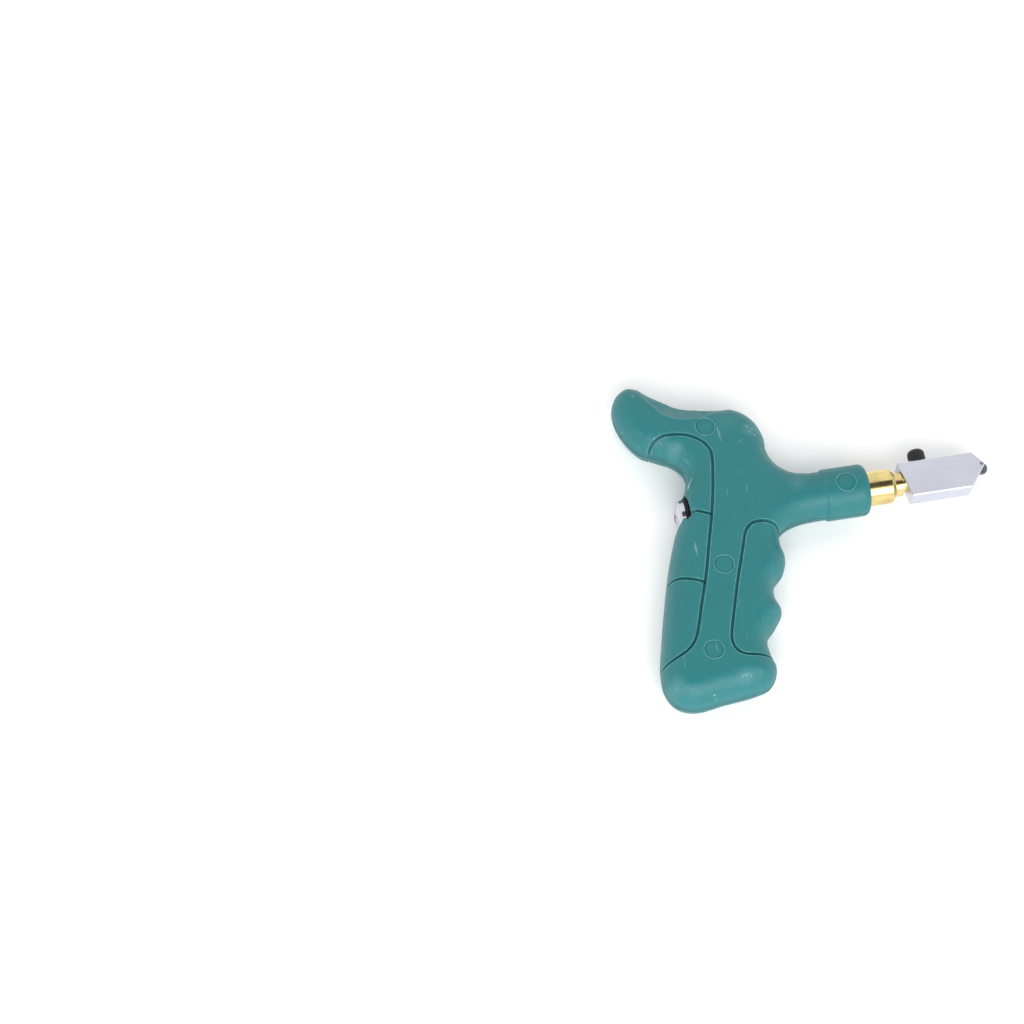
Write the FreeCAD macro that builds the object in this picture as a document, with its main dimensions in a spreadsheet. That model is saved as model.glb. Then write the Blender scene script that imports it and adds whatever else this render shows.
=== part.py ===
"""Pistol-grip oil-feed glass cutter, laid on its side.

The tool is a hollow two-half moulded handle around a brass oil barrel.  The
barrel carries a short spring-loaded stem, and a steel head with a carbide
wheel swivels on the stem's front spigot.  A screw at the back of the barrel
is the oil filler plug.

Frame: +X runs along the barrel towards the wheel, the grip hangs towards -Y,
and +Z is normal to the side the tool rests on.  The origin is the centre of
the bounding box's bottom face.  Local measurements start at the middle of
the handle's nose end, on the barrel axis.
"""
import FreeCAD, Part
import os
import Sketcher

Vector = FreeCAD.Vector
Rotation = FreeCAD.Rotation

ALONG_X = Rotation()
ALONG_Y = Rotation(Vector(0, 0, 1), 90)
ALONG_Z = Rotation(Vector(0, 1, 0), -90)
CYLINDER_TO_X = Rotation(Vector(0, 1, 0), 90)
CYLINDER_TO_Y = Rotation(Vector(1, 0, 0), -90)

# Driving dimensions in millimetres, measured from the nose end on the axis.
DIMENSIONS = [
    ("shift_x", 20.9, "nose end to the frame's origin"),
    ("shift_y", 10.25, "barrel axis to the frame's origin"),
    ("half_thick", 10.4, "half the handle's thickness, height of the axis"),
    ("handle_wall", 2.6, "moulded wall"),
    ("edge_round", 3.6, "rounding of the handle's outer edges"),
    ("nose_rad", 9.3, "nose ring"),
    ("waist_rad", 8.7, "neck of the handle behind the nose ring"),
    ("nose_ring_len", 15.5, "length of the nose ring"),
    ("waist_len", 34.0, "nose end to the root of the waist"),
    ("nose_round", 2.4, "rounding of the nose end"),
    ("bay_reach", 11.0, "hollow bays beside the barrel, from the axis"),
    ("boss_rad", 3.9, "screw bosses"),
    ("barrel_rad", 6.35, "brass barrel outside"),
    ("barrel_bore", 4.45, "barrel bore"),
    ("barrel_front", 10.0, "barrel front face"),
    ("barrel_bevel", 1.5, "bevel on that face"),
    ("barrel_rear", 65.0, "barrel rear face, behind the nose end"),
    ("plug_thread", 3.1, "threaded hole for the filler plug"),
    ("thread_len", 8.0, "length of that thread"),
    ("pocket_rad", 7.2, "pocket around the filler plug"),
    ("pocket_len", 9.0, "depth cut for that pocket"),
    ("notch_low", 2.8, "lower edge of the notch over the pocket, below the axis"),
    ("bush_rear", 22.0, "rear face of the valve bush"),
    ("bush_len", 5.0, "valve bush"),
    ("bush_hole", 1.5, "valve hole"),
    ("needle_rad", 1.1, "valve needle shank"),
    ("needle_head", 2.6, "valve needle head"),
    ("seal_wire", 0.5, "valve seal section radius"),
    ("spring_rad", 3.0, "spring, middle of the wire"),
    ("spring_wire", 0.3, "spring wire radius"),
    ("spring_pitch", 1.1, "spring pitch"),
    ("spring_len", 3.4, "spring length between wire centres"),
    ("stem_rear", 12.0, "stem rear face, behind the nose end"),
    ("stem_rad", 4.4, "stem"),
    ("stem_front", 12.65, "stem shoulder"),
    ("spigot_rad", 3.0, "spigot that carries the head"),
    ("spigot_front", 24.0, "spigot front face"),
    ("oil_way", 1.1, "oil way through stem and head"),
    ("wick_rad", 1.0, "felt wick"),
    ("ring_groove", 3.45, "groove floor of the stem O-ring"),
    ("ring_place", 3.6, "stem O-ring, behind the nose end"),
    ("ring_wire", 0.46, "stem O-ring section radius"),
    ("lock_place", 8.5, "stem lock screw, behind the nose end"),
    ("lock_groove", 3.2, "floor of the lock groove"),
    ("float_travel", 0.6, "axial float of the stem"),
    ("head_thick", 7.6, "cutter head thickness"),
    ("head_top", 6.8, "head top edge above the axis"),
    ("head_low", 6.8, "head lower edge below the axis"),
    ("head_bore", 3.06, "head bore for the spigot"),
    ("bore_end", 24.8, "end of that bore"),
    ("head_bevel", 0.3, "bevel on the head's edges"),
    ("wheel_place", 42.35, "wheel axle from the nose end"),
    ("wheel_high", 1.6, "wheel axle above the barrel axis"),
    ("wheel_rad", 2.8, "carbide wheel"),
    ("wheel_thick", 1.1, "wheel thickness"),
    ("wheel_slot", 1.3, "slot for the wheel"),
    ("slot_rear", 38.6, "rear end of the slot"),
    ("axle_rad", 0.65, "wheel axle"),
    ("wheel_bore", 0.7, "wheel bore"),
    ("knob_place", 20.85, "thumb screw from the nose end"),
    ("knob_rad", 3.15, "thumb screw knob"),
    ("knob_tall", 5.3, "knob height"),
    ("knob_gap", 0.25, "knob above the head"),
    ("knob_shank", 1.5, "thumb screw thread"),
    ("knob_tip", 2.7, "thread tip above the axis"),
    ("spigot_groove", 2.3, "floor of the spigot groove"),
    ("plug_head", 6.2, "filler plug head"),
    ("plug_tall", 3.5, "filler plug head height"),
    ("plug_shank", 3.0, "filler plug thread"),
    ("plug_long", 7.0, "filler plug thread length"),
    ("washer_rad", 5.15, "filler washer"),
    ("plug_ring", 6.05, "filler O-ring, middle of the section"),
    ("plug_ring_wire", 0.7, "filler O-ring section radius"),
    ("seal_gap", 0.02, "free gap at the filler seal"),
    ("screw_rad", 1.5, "shell screw thread"),
    ("screw_core", 1.3, "pilot hole in the left shell"),
    ("screw_clear", 1.7, "clearance hole in the right shell"),
    ("screw_head", 2.8, "shell screw head"),
    ("screw_tall", 2.0, "shell screw head height"),
    ("screw_seat", 5.0, "seat of a shell screw above the rest face"),
    ("screw_tip", 16.4, "tip of a shell screw above the rest face"),
    ("sink_rad", 3.2, "counterbore for a shell screw"),
    ("lock_seat", 3.0, "seat of the stem lock screw"),
    ("lock_tip", 6.7, "tip of the stem lock screw"),
    ("cross_wide", 0.9, "cross recess width"),
]

# Shell screws: places on the side of the handle, from the nose end and axis.
SCREW_PLACES = [(-53.7, 29.4), (-58.0, -24.8), (-68.0, -55.8)]

# Outline of the handle at its parting plane.  Each stretch is a smooth curve,
# and the stretches meet at the outline's real corners.
CROWN = [(-20.0, 8.7), (-26.0, 10.3), (-30.4, 14.2), (-32.4, 19.5), (-32.3, 25.0),
         (-34.0, 31.3), (-38.0, 36.3), (-42.5, 38.7), (-46.6, 38.7), (-54.2, 40.3),
         (-62.2, 43.2), (-70.3, 48.6)]
TAIL = [(-70.3, 48.6), (-74.0, 51.9), (-78.3, 53.0), (-82.9, 49.8), (-84.8, 43.4),
        (-82.7, 34.4), (-77.8, 27.0), (-72.0, 23.8), (-67.0, 21.0), (-63.8, 16.5),
        (-63.7, 12.0), (-65.5, 7.4), (-67.5, 2.4), (-69.5, -2.8), (-71.9, -8.6)]
GRIP = [(-71.9, -8.6), (-75.4, -17.6), (-79.2, -29.4), (-84.2, -47.6), (-86.6, -58.0),
        (-86.6, -65.0), (-83.6, -70.7), (-77.3, -73.4), (-66.0, -72.2), (-55.6, -71.0),
        (-49.6, -69.0), (-46.6, -63.4), (-47.6, -58.0), (-47.6, -52.4), (-43.6, -47.6),
        (-40.4, -42.6), (-41.7, -37.0), (-40.8, -32.4), (-37.0, -28.4), (-34.8, -23.0),
        (-35.4, -17.6), (-35.1, -13.4)]
BELLY = [(-35.1, -13.4), (-31.8, -10.9), (-26.5, -9.3), (-20.0, -8.5)]

# Hollows of the handle, moulded with straight walls between the rounded skins.
GRIP_HOLLOW = [(-72.4, -14.5), (-76.0, -29.0), (-81.0, -47.5), (-83.2, -58.5), (-83.0, -64.5),
               (-80.5, -68.6), (-77.0, -70.0), (-56.0, -67.6), (-51.5, -66.0), (-50.0, -63.0),
               (-51.0, -57.5), (-51.0, -52.5), (-46.6, -47.0), (-44.2, -42.5), (-45.4, -36.5),
               (-44.0, -31.0), (-40.2, -26.5), (-38.4, -22.5), (-38.8, -16.0), (-40.0, -14.5)]
CROWN_HOLLOW = [(-60.0, 14.0), (-60.0, 20.0), (-66.0, 25.0), (-72.5, 28.0), (-77.5, 31.5),
                (-80.5, 37.0), (-81.2, 43.0), (-79.8, 48.0), (-77.5, 49.3), (-74.5, 48.3),
                (-70.0, 44.2), (-62.0, 39.5), (-54.0, 36.8), (-46.0, 35.2), (-42.5, 35.0),
                (-39.5, 33.0), (-36.8, 29.5), (-35.8, 25.0), (-36.0, 19.0), (-35.0, 14.0)]
BARREL_BAYS = [(-60.0, -50.0), (-47.6, -37.2)]

# Rim edges to round: level to within the first value, and outside the nose's seam.
LEVEL_WITHIN = 0.01
SEAM_MARGIN = 0.5

doc = FreeCAD.newDocument("glass_cutter")
sheet = doc.addObject("Spreadsheet::Sheet", "dims")
for row, (alias, value, note) in enumerate(DIMENSIONS, start=1):
    sheet.set("A%d" % row, alias.replace("_", " "))
    sheet.set("B%d" % row, str(value))
    sheet.set("C%d" % row, note)
    sheet.setAlias("B%d" % row, alias)
doc.recompute()

size = {alias: value for alias, value, note in DIMENSIONS}
sub_parts = []


def dims(expression):
    """Turn words such as 'nose_rad + 1' into an expression on the sheet."""
    words = sorted(size, key=len, reverse=True)
    out = ""
    index = 0
    while index < len(expression):
        match = next((w for w in words if expression.startswith(w, index)), None)
        if match:
            out += "dims." + match
            index += len(match)
        else:
            out += expression[index]
            index += 1
    return out


def values_of(expressions):
    """Numbers that the expressions stand for, worked out in spare cells of the sheet."""
    cells = ["E%d" % row for row in range(1, len(expressions) + 1)]
    for cell, expression in zip(cells, expressions):
        sheet.set(cell, "=" + expression)
    sheet.recompute()
    values = [float(sheet.get(cell)) for cell in cells]
    for cell in cells:
        sheet.clear(cell)
    return values


def place(piece, at, rotation=ALONG_X):
    """Put a piece at local coordinates, each an expression on the sheet."""
    piece.Placement = FreeCAD.Placement(Vector(0, 0, 0), rotation)
    piece.setExpression("Placement.Base.x", dims("shift_x + (%s)" % at[0]))
    piece.setExpression("Placement.Base.y", dims("shift_y + (%s)" % at[1]))
    piece.setExpression("Placement.Base.z", dims(at[2]))
    return piece


def name_part(piece, label):
    """Make a finished piece one of the tool's sub-parts."""
    piece.Label = label
    sub_parts.append(piece)
    return piece


def cylinder(name, radius, height, at, rotation):
    piece = doc.addObject("Part::Cylinder", name)
    piece.setExpression("Radius", dims(radius))
    piece.setExpression("Height", dims(height))
    return place(piece, at, rotation)


def block(name, length, width, height, at):
    piece = doc.addObject("Part::Box", name)
    piece.setExpression("Length", dims(length))
    piece.setExpression("Width", dims(width))
    piece.setExpression("Height", dims(height))
    return place(piece, at)


def torus(name, ring, wire, at, rotation):
    piece = doc.addObject("Part::Torus", name)
    piece.setExpression("Radius1", dims(ring))
    piece.setExpression("Radius2", dims(wire))
    return place(piece, at, rotation)


def fuse(name, pieces):
    piece = doc.addObject("Part::MultiFuse", name)
    piece.Shapes = pieces
    return piece


def cut(name, base, tools):
    piece = doc.addObject("Part::Cut", name)
    piece.Base = base
    piece.Tool = tools[0] if len(tools) == 1 else fuse(name + "_tools", tools)
    return piece


def common(name, base, tool):
    piece = doc.addObject("Part::Common", name)
    piece.Base = base
    piece.Tool = tool
    return piece


def origin_plane(body, role):
    return next(part for part in body.Origin.OriginFeatures if part.Role == role)


def polygon_sketch(body, name, role, corners):
    """Closed polygon whose corners are expressions, drawn on an origin plane."""
    sketch = body.newObject("Sketcher::SketchObject", name)
    sketch.AttachmentSupport = [(origin_plane(body, role), "")]
    sketch.MapMode = "FlatFace"
    numbers = values_of([text for corner in corners for text in corner])
    points = [Vector(x, y, 0) for x, y in zip(numbers[::2], numbers[1::2])]
    for index, start in enumerate(points):
        end = points[(index + 1) % len(points)]
        sketch.addGeometry(Part.LineSegment(start, end), False)
    count = len(points)
    for index in range(count):
        sketch.addConstraint(Sketcher.Constraint("Coincident", index, 2, (index + 1) % count, 1))
    for index, (x, y) in enumerate(corners):
        for kind, text, value in (("DistanceX", x, points[index].x), ("DistanceY", y, points[index].y)):
            forward = value >= 0
            ends = (-1, 1, index, 1) if forward else (index, 1, -1, 1)
            number = sketch.addConstraint(Sketcher.Constraint(kind, *ends, abs(value)))
            sign = "" if forward else "-"
            if abs(value) > 1e-9:
                sketch.setExpression("Constraints[%d]" % number, dims("%s(%s)" % (sign, text)))
    return sketch


def turned(name, profile, at, rotation=ALONG_X):
    """Lathe-turned piece: profile gives (distance along the axis, radius)."""
    body = doc.addObject("PartDesign::Body", name)
    sketch = polygon_sketch(body, name + "_profile", "XY_Plane", profile)
    revolution = body.newObject("PartDesign::Revolution", name + "_turn")
    revolution.Profile = sketch
    revolution.ReferenceAxis = (sketch, ["H_Axis"])
    revolution.Angle = 360
    sketch.Visibility = False
    body.Tip = revolution
    return place(body, at, rotation)


def cross_recess(name, depth, at, rotation):
    """Two crossed slots for a cross-head driver, sunk along local +X."""
    arms = []
    for index, (wide, tall) in enumerate((("cross_wide", "cross_wide*4"), ("cross_wide*4", "cross_wide"))):
        arm = doc.addObject("Part::Box", "%s_arm%d" % (name, index))
        arm.setExpression("Length", dims(depth + " + 1"))
        arm.setExpression("Width", dims(wide))
        arm.setExpression("Height", dims(tall))
        arm.setExpression("Placement.Base.x", "-1")
        arm.setExpression("Placement.Base.y", dims("-(%s)/2" % wide))
        arm.setExpression("Placement.Base.z", dims("-(%s)/2" % tall))
        arms.append(arm)
    return place(fuse(name, arms), at, rotation)


# ---------------------------------------------------------------- handle ----

def handle_outline():
    """Sketch of the handle's outline, closed inside the nose."""
    sketch = doc.addObject("Sketcher::SketchObject", "handle_outline")
    for stretch in (CROWN, TAIL + GRIP[1:], BELLY):
        points = [Vector(x, y, 0) for x, y in stretch]
        curve = Part.BSplineCurve()
        curve.interpolate(points)
        sketch.addGeometry(curve, False)
    sketch.addGeometry(Part.LineSegment(Vector(*BELLY[-1], 0), Vector(*CROWN[0], 0)), False)
    return place(sketch, ("0", "0", "0"))


def extrude(name, sketch, back, forward):
    """Solid on a sketch, from -back to +forward along Z."""
    piece = doc.addObject("Part::Extrusion", name)
    piece.Base = sketch
    piece.DirMode = "Custom"
    piece.Dir = Vector(0, 0, 1)
    piece.Solid = True
    piece.setExpression("LengthFwd", dims(forward))
    piece.setExpression("LengthRev", dims(back))
    return piece


def rounded_slab(sketch):
    """Outline at full thickness, with both rims rounded."""
    slab = extrude("handle_slab", sketch, "0", "half_thick*2")
    doc.recompute()
    rims = []
    for number, edge in enumerate(slab.Shape.Edges, start=1):
        box = edge.BoundBox
        level = box.ZLength < LEVEL_WITHIN
        if level and box.XMin < size["shift_x"] + CROWN[0][0] - SEAM_MARGIN:
            rims.append((number, size["edge_round"], size["edge_round"]))
    rounded = doc.addObject("Part::Fillet", "handle_rounded")
    rounded.Base = slab
    rounded.Edges = rims
    return rounded


def nose():
    """Round waist and nose ring around the barrel."""
    profile = [("-waist_len", "0"), ("-waist_len", "waist_rad"),
               ("-nose_ring_len - 1", "waist_rad"), ("-nose_ring_len", "nose_rad"),
               ("-nose_round", "nose_rad"), ("-nose_round*0.3", "nose_rad - nose_round*0.3"),
               ("0", "nose_rad - nose_round"), ("0", "0")]
    return turned("handle_nose", profile, ("0", "0", "half_thick"))


def hollow_outline(name, corners):
    """Closed polygon drawn in the parting plane's coordinates."""
    sketch = doc.addObject("Sketcher::SketchObject", name)
    points = [Vector(x, y, 0) for x, y in corners]
    for index, start in enumerate(points):
        sketch.addGeometry(Part.LineSegment(start, points[(index + 1) % len(points)]), False)
    return place(sketch, ("0", "0", "0"))


def cavity():
    """Hollows of grip and crown, less the screw bosses, and the barrel's bays."""
    hollows = []
    for name, corners in (("grip_hollow", GRIP_HOLLOW), ("crown_hollow", CROWN_HOLLOW)):
        hollows.append(extrude(name + "_space", hollow_outline(name, corners),
                               "-handle_wall", "half_thick*2 - handle_wall"))
    for index, (rear, front) in enumerate(BARREL_BAYS):
        hollows.append(block("barrel_bay_%d" % index, str(front - rear), "bay_reach*2",
                             "half_thick*2 - handle_wall*2", (str(rear), "-bay_reach", "handle_wall")))
    bosses = []
    for index, (x, y) in enumerate(SCREW_PLACES):
        bosses.append(cylinder("boss_%d" % index, "boss_rad", "half_thick*2",
                               (str(x), str(y), "0"), ALONG_X))
    return cut("handle_cavity", fuse("handle_hollows", hollows), bosses)


def handle_shells():
    sketch = handle_outline()
    outer = fuse("handle_outer", [rounded_slab(sketch), nose()])
    barrel_space = cylinder("barrel_space", "barrel_rad", "barrel_rear + 1",
                            ("-barrel_rear", "0", "half_thick"), CYLINDER_TO_X)
    pocket = cylinder("plug_pocket", "pocket_rad", "pocket_len",
                      ("-barrel_rear - pocket_len", "0", "half_thick"), CYLINDER_TO_X)
    notch = block("plug_notch", "pocket_len", "notch_low + pocket_rad", "half_thick*2 + 2",
                  ("-barrel_rear - pocket_len", "-notch_low", "-1"))
    casing = cut("handle_casing", outer, [cavity(), barrel_space, pocket, notch])
    upper = block("left_side", "200", "200", "half_thick + 5", ("-130", "-110", "half_thick"))
    lower = block("right_side", "200", "200", "half_thick + 5", ("-130", "-110", "-5"))
    left_holes = []
    right_holes = []
    for index, (x, y) in enumerate(SCREW_PLACES):
        left_holes.append(cylinder("pilot_%d" % index, "screw_core", "screw_tip - half_thick + 0.6",
                                   (str(x), str(y), "half_thick"), ALONG_X))
        right_holes.append(cylinder("hole_%d" % index, "screw_clear", "half_thick + 2",
                                    (str(x), str(y), "-1"), ALONG_X))
        right_holes.append(cylinder("sink_%d" % index, "sink_rad", "screw_seat + 1",
                                    (str(x), str(y), "-1"), ALONG_X))
    right_holes.append(cylinder("lock_hole", "screw_clear", "half_thick",
                                ("-lock_place", "0", "-1"), ALONG_X))
    right_holes.append(cylinder("lock_sink", "sink_rad", "lock_seat + 1",
                                ("-lock_place", "0", "-1"), ALONG_X))
    left = cut("left_shell", common("left_half", casing, upper), left_holes)
    right = cut("right_shell", common("right_half", casing, lower), right_holes)
    name_part(left, "handle_left_shell")
    name_part(right, "handle_right_shell")


def shell_screws():
    """Three long self-tapping screws and the short stem lock screw."""
    for index, (x, y) in enumerate(SCREW_PLACES, start=1):
        pan_screw("shell_screw_%d" % index, (str(x), str(y)), "screw_seat", "screw_tip - screw_seat",
                  "screw_rad")
    pan_screw("stem_lock_screw", ("-lock_place", "0"), "lock_seat", "lock_tip - lock_seat", "screw_rad")


def pan_screw(label, at, seat, length, radius):
    profile = [("-screw_tall", "0"), ("-screw_tall", "screw_head*0.62"),
               ("-screw_tall*0.6", "screw_head"), ("0", "screw_head"), ("0", radius),
               ("(%s) - 0.8" % length, radius), (length, radius + "*0.6"), (length, "0")]
    blank = turned(label + "_blank", profile, (at[0], at[1], seat), ALONG_Z)
    recess = cross_recess(label + "_recess", "screw_tall*0.6", (at[0], at[1], seat + " - screw_tall"),
                          ALONG_Z)
    name_part(cut(label + "_cut", blank, [recess]), label)


# ---------------------------------------------------- barrel, valve, stem ----

def oil_barrel():
    """Brass tube: reservoir behind the valve bush, running bore in front."""
    rear = "-barrel_rear"
    profile = [(rear, "plug_thread"), (rear, "barrel_rad"), ("barrel_front - barrel_bevel", "barrel_rad"),
               ("barrel_front", "barrel_rad - barrel_bevel"), ("barrel_front", "barrel_bore"),
               (rear + " + thread_len", "barrel_bore"), (rear + " + thread_len", "plug_thread")]
    tube = turned("barrel_tube", profile, ("0", "0", "half_thick"))
    lock_hole = cylinder("barrel_lock_hole", "screw_core", "half_thick",
                         ("-lock_place", "0", "0"), ALONG_X)
    name_part(cut("barrel_cut", tube, [lock_hole]), "oil_barrel")


def valve():
    """Bush pressed in the barrel, with the needle, its seal and the spring."""
    bush = [("0", "bush_hole"), ("0", "barrel_bore"), ("bush_len", "barrel_bore"),
            ("bush_len", "bush_hole")]
    name_part(turned("bush", bush, ("-bush_rear", "0", "half_thick")), "valve_bush")
    needle = [("-3.4", "0"), ("-3.4", "needle_head*0.5"), ("-1.4", "needle_head"),
              ("-1.05", "needle_head"), ("-1.05", "needle_rad"),
              ("bush_rear - stem_rear + 3", "needle_rad"), ("bush_rear - stem_rear + 3", "0")]
    name_part(turned("needle", needle, ("-bush_rear", "0", "half_thick")), "valve_needle")
    seal = torus("seal", "needle_rad + seal_wire + 0.02", "seal_wire",
                 ("-bush_rear - seal_wire - 0.02", "0", "half_thick"), CYLINDER_TO_X)
    name_part(seal, "valve_seal")
    helix = doc.addObject("Part::Helix", "spring_path")
    helix.setExpression("Radius", dims("spring_rad"))
    helix.setExpression("Pitch", dims("spring_pitch"))
    helix.setExpression("Height", dims("spring_len"))
    wire = doc.addObject("Part::Circle", "spring_section")
    wire.setExpression("Radius", dims("spring_wire"))
    wire.Placement = FreeCAD.Placement(Vector(size["spring_rad"], 0, 0), Rotation(Vector(1, 0, 0), 90))
    spring = doc.addObject("Part::Sweep", "spring")
    spring.Sections = [wire]
    spring.Spine = (helix, ["Edge1"])
    spring.Solid = True
    spring.Frenet = True
    place(spring, ("-bush_rear + bush_len + spring_wire", "0", "half_thick"), CYLINDER_TO_X)
    name_part(spring, "valve_spring")


def stem():
    """Brass stem: O-ring groove, lock groove, shoulder and head spigot."""
    ring_half = "ring_wire + 0.1"
    lock_low = "-lock_place - screw_rad - float_travel - 0.2"
    lock_high = "-lock_place + screw_rad + float_travel + 0.2"
    profile = [("-stem_rear", "oil_way"), ("-stem_rear", "stem_rad"),
               (lock_low, "stem_rad"), (lock_low, "lock_groove"),
               (lock_high, "lock_groove"), (lock_high, "stem_rad"),
               ("-ring_place - (%s)" % ring_half, "stem_rad"),
               ("-ring_place - (%s)" % ring_half, "ring_groove"),
               ("-ring_place + (%s)" % ring_half, "ring_groove"),
               ("-ring_place + (%s)" % ring_half, "stem_rad"),
               ("stem_front", "stem_rad"), ("stem_front", "spigot_rad"),
               ("knob_place - knob_shank - 0.4", "spigot_rad"),
               ("knob_place - knob_shank - 0.4", "spigot_groove"),
               ("knob_place + knob_shank + 0.4", "spigot_groove"),
               ("knob_place + knob_shank + 0.4", "spigot_rad"),
               ("spigot_front - 0.5", "spigot_rad"), ("spigot_front", "spigot_rad - 0.5"),
               ("spigot_front", "oil_way")]
    name_part(turned("stem", profile, ("0", "0", "half_thick")), "valve_stem")
    ring = torus("stem_ring", "ring_groove + ring_wire + 0.02", "ring_wire",
                 ("-ring_place", "0", "half_thick"), CYLINDER_TO_X)
    name_part(ring, "stem_o_ring")
    wick = [("-stem_rear + 3.5", "0"), ("-stem_rear + 3.5", "wick_rad"), ("slot_rear - 1", "wick_rad"),
            ("slot_rear - 1", "0")]
    name_part(turned("wick", wick, ("0", "0", "half_thick")), "felt_wick")


# ------------------------------------------------------------ cutter head ----

def cutter_head():
    """Flat steel block, pointed towards the wheel, bored for the spigot."""
    corners = [("12.35", "head_top"), ("15.0", "-head_low"), ("37.0", "-head_low"),
               ("43.7", "wheel_high"), ("39.8", "head_top")]
    body = doc.addObject("PartDesign::Body", "head_body")
    sketch = polygon_sketch(body, "head_side", "XY_Plane", corners)
    pad = body.newObject("PartDesign::Pad", "head_pad")
    pad.Profile = sketch
    pad.setExpression("Length", dims("head_thick"))
    pad.Midplane = True
    sketch.Visibility = False
    doc.recompute()
    chamfer = body.newObject("PartDesign::Chamfer", "head_edges")
    chamfer.Base = (pad, ["Edge%d" % number for number in range(1, len(pad.Shape.Edges) + 1)])
    chamfer.setExpression("Size", dims("head_bevel"))
    body.Tip = chamfer
    place(body, ("0", "0", "half_thick"))
    bore = cylinder("head_bore_space", "head_bore", "bore_end", ("0", "0", "half_thick"), CYLINDER_TO_X)
    way = cylinder("head_oil_way", "oil_way", "slot_rear + 1", ("0", "0", "half_thick"), CYLINDER_TO_X)
    slot = block("wheel_slot_space", "10", "head_top + head_low + 4", "wheel_slot",
                 ("slot_rear", "-head_low - 2", "half_thick - wheel_slot/2"))
    axle = cylinder("axle_hole", "axle_rad", "head_thick + 2",
                    ("wheel_place", "wheel_high", "half_thick - head_thick/2 - 1"), ALONG_X)
    thread = cylinder("knob_hole", "knob_shank + 0.05", "head_top + 1",
                      ("knob_place", "0", "half_thick"), CYLINDER_TO_Y)
    name_part(cut("head_cut", body, [bore, way, slot, axle, thread]), "cutter_head")


def wheel_and_axle():
    half = "wheel_thick/2"
    profile = [("-(%s)" % half, "wheel_bore"), ("-(%s)" % half, "wheel_rad - 0.45"),
               ("0", "wheel_rad"), (half, "wheel_rad - 0.45"), (half, "wheel_bore")]
    centre = ("wheel_place", "wheel_high", "half_thick")
    name_part(turned("wheel", profile, centre, ALONG_Z), "cutting_wheel")
    pin = [("-head_thick/2 - 0.1", "0"), ("-head_thick/2 - 0.1", "axle_rad - 0.15"),
           ("-head_thick/2 + 0.1", "axle_rad"), ("head_thick/2 - 0.1", "axle_rad"),
           ("head_thick/2 + 0.1", "axle_rad - 0.15"), ("head_thick/2 + 0.1", "0")]
    name_part(turned("axle", pin, centre, ALONG_Z), "wheel_axle")


def thumb_screw():
    """Black knob with a domed top on a threaded shank."""
    low = "head_top + knob_gap"
    profile = [("knob_tip", "0"), ("knob_tip", "knob_shank"), (low, "knob_shank"),
               (low, "knob_rad - 0.3"), (low + " + 0.3", "knob_rad"),
               (low + " + knob_tall - 1.7", "knob_rad"), (low + " + knob_tall - 0.5", "knob_rad - 0.75"),
               (low + " + knob_tall", "knob_rad - 2"), (low + " + knob_tall", "0")]
    name_part(turned("knob", profile, ("knob_place", "0", "half_thick"), ALONG_Y), "head_screw")


# ----------------------------------------------------------- filler plug ----

def filler_plug():
    """Pan-head plug, with a spacer washer inside the O-ring that it clamps."""
    under_head = "(plug_ring_wire*2 + seal_gap*2)"
    profile = [("-%s - plug_tall" % under_head, "0"),
               ("-%s - plug_tall" % under_head, "plug_head*0.45"),
               ("-%s - plug_tall*0.82" % under_head, "plug_head*0.78"),
               ("-%s - plug_tall*0.4" % under_head, "plug_head*0.98"),
               ("-%s" % under_head, "plug_head"), ("-%s" % under_head, "plug_shank"),
               ("plug_long - 0.8", "plug_shank"), ("plug_long", "plug_shank - 0.8"),
               ("plug_long", "0")]
    blank = turned("plug_blank", profile, ("-barrel_rear", "0", "half_thick"))
    recess = cross_recess("plug_recess", "plug_tall*0.62",
                          ("-barrel_rear - plug_tall - %s" % under_head, "0", "half_thick"), ALONG_X)
    name_part(cut("plug_cut", blank, [recess]), "filler_screw")
    washer = [("-seal_gap - plug_ring_wire*2", "plug_shank + 0.1"),
              ("-seal_gap - plug_ring_wire*2", "washer_rad"),
              ("-seal_gap", "washer_rad"), ("-seal_gap", "plug_shank + 0.1")]
    name_part(turned("washer", washer, ("-barrel_rear", "0", "half_thick")), "filler_washer")
    ring = torus("plug_seal", "plug_ring", "plug_ring_wire",
                 ("-barrel_rear - plug_ring_wire - seal_gap", "0", "half_thick"), CYLINDER_TO_X)
    name_part(ring, "filler_o_ring")


handle_shells()
shell_screws()
oil_barrel()
valve()
stem()
cutter_head()
wheel_and_axle()
thumb_screw()
filler_plug()
doc.recompute()

for item in doc.Objects:
    bad = [word for word in ("Invalid", "Error") if word in item.State]
    if bad:
        raise RuntimeError("%s is %s" % (item.Label, bad))
for piece in sub_parts:
    if piece.Shape.isNull() or not piece.Shape.isValid():
        raise RuntimeError("%s has no valid shape" % piece.Label)

os.makedirs("parts", exist_ok=True)
for piece in sub_parts:
    piece.Shape.exportStep("parts/%s.step" % piece.Label)
    box = piece.Shape.BoundBox
    print("%-18s solids %d  volume %9.2f  x %7.2f %7.2f  y %7.2f %7.2f  z %6.2f %6.2f"
          % (piece.Label, len(piece.Shape.Solids), piece.Shape.Volume,
             box.XMin, box.XMax, box.YMin, box.YMax, box.ZMin, box.ZMax))
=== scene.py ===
"""Looks of the pistol-grip glass cutter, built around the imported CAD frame."""
import math

import bmesh
import bpy
import numpy as np
from mathutils import Matrix, Vector
from mathutils.geometry import delaunay_2d_cdt


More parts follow.
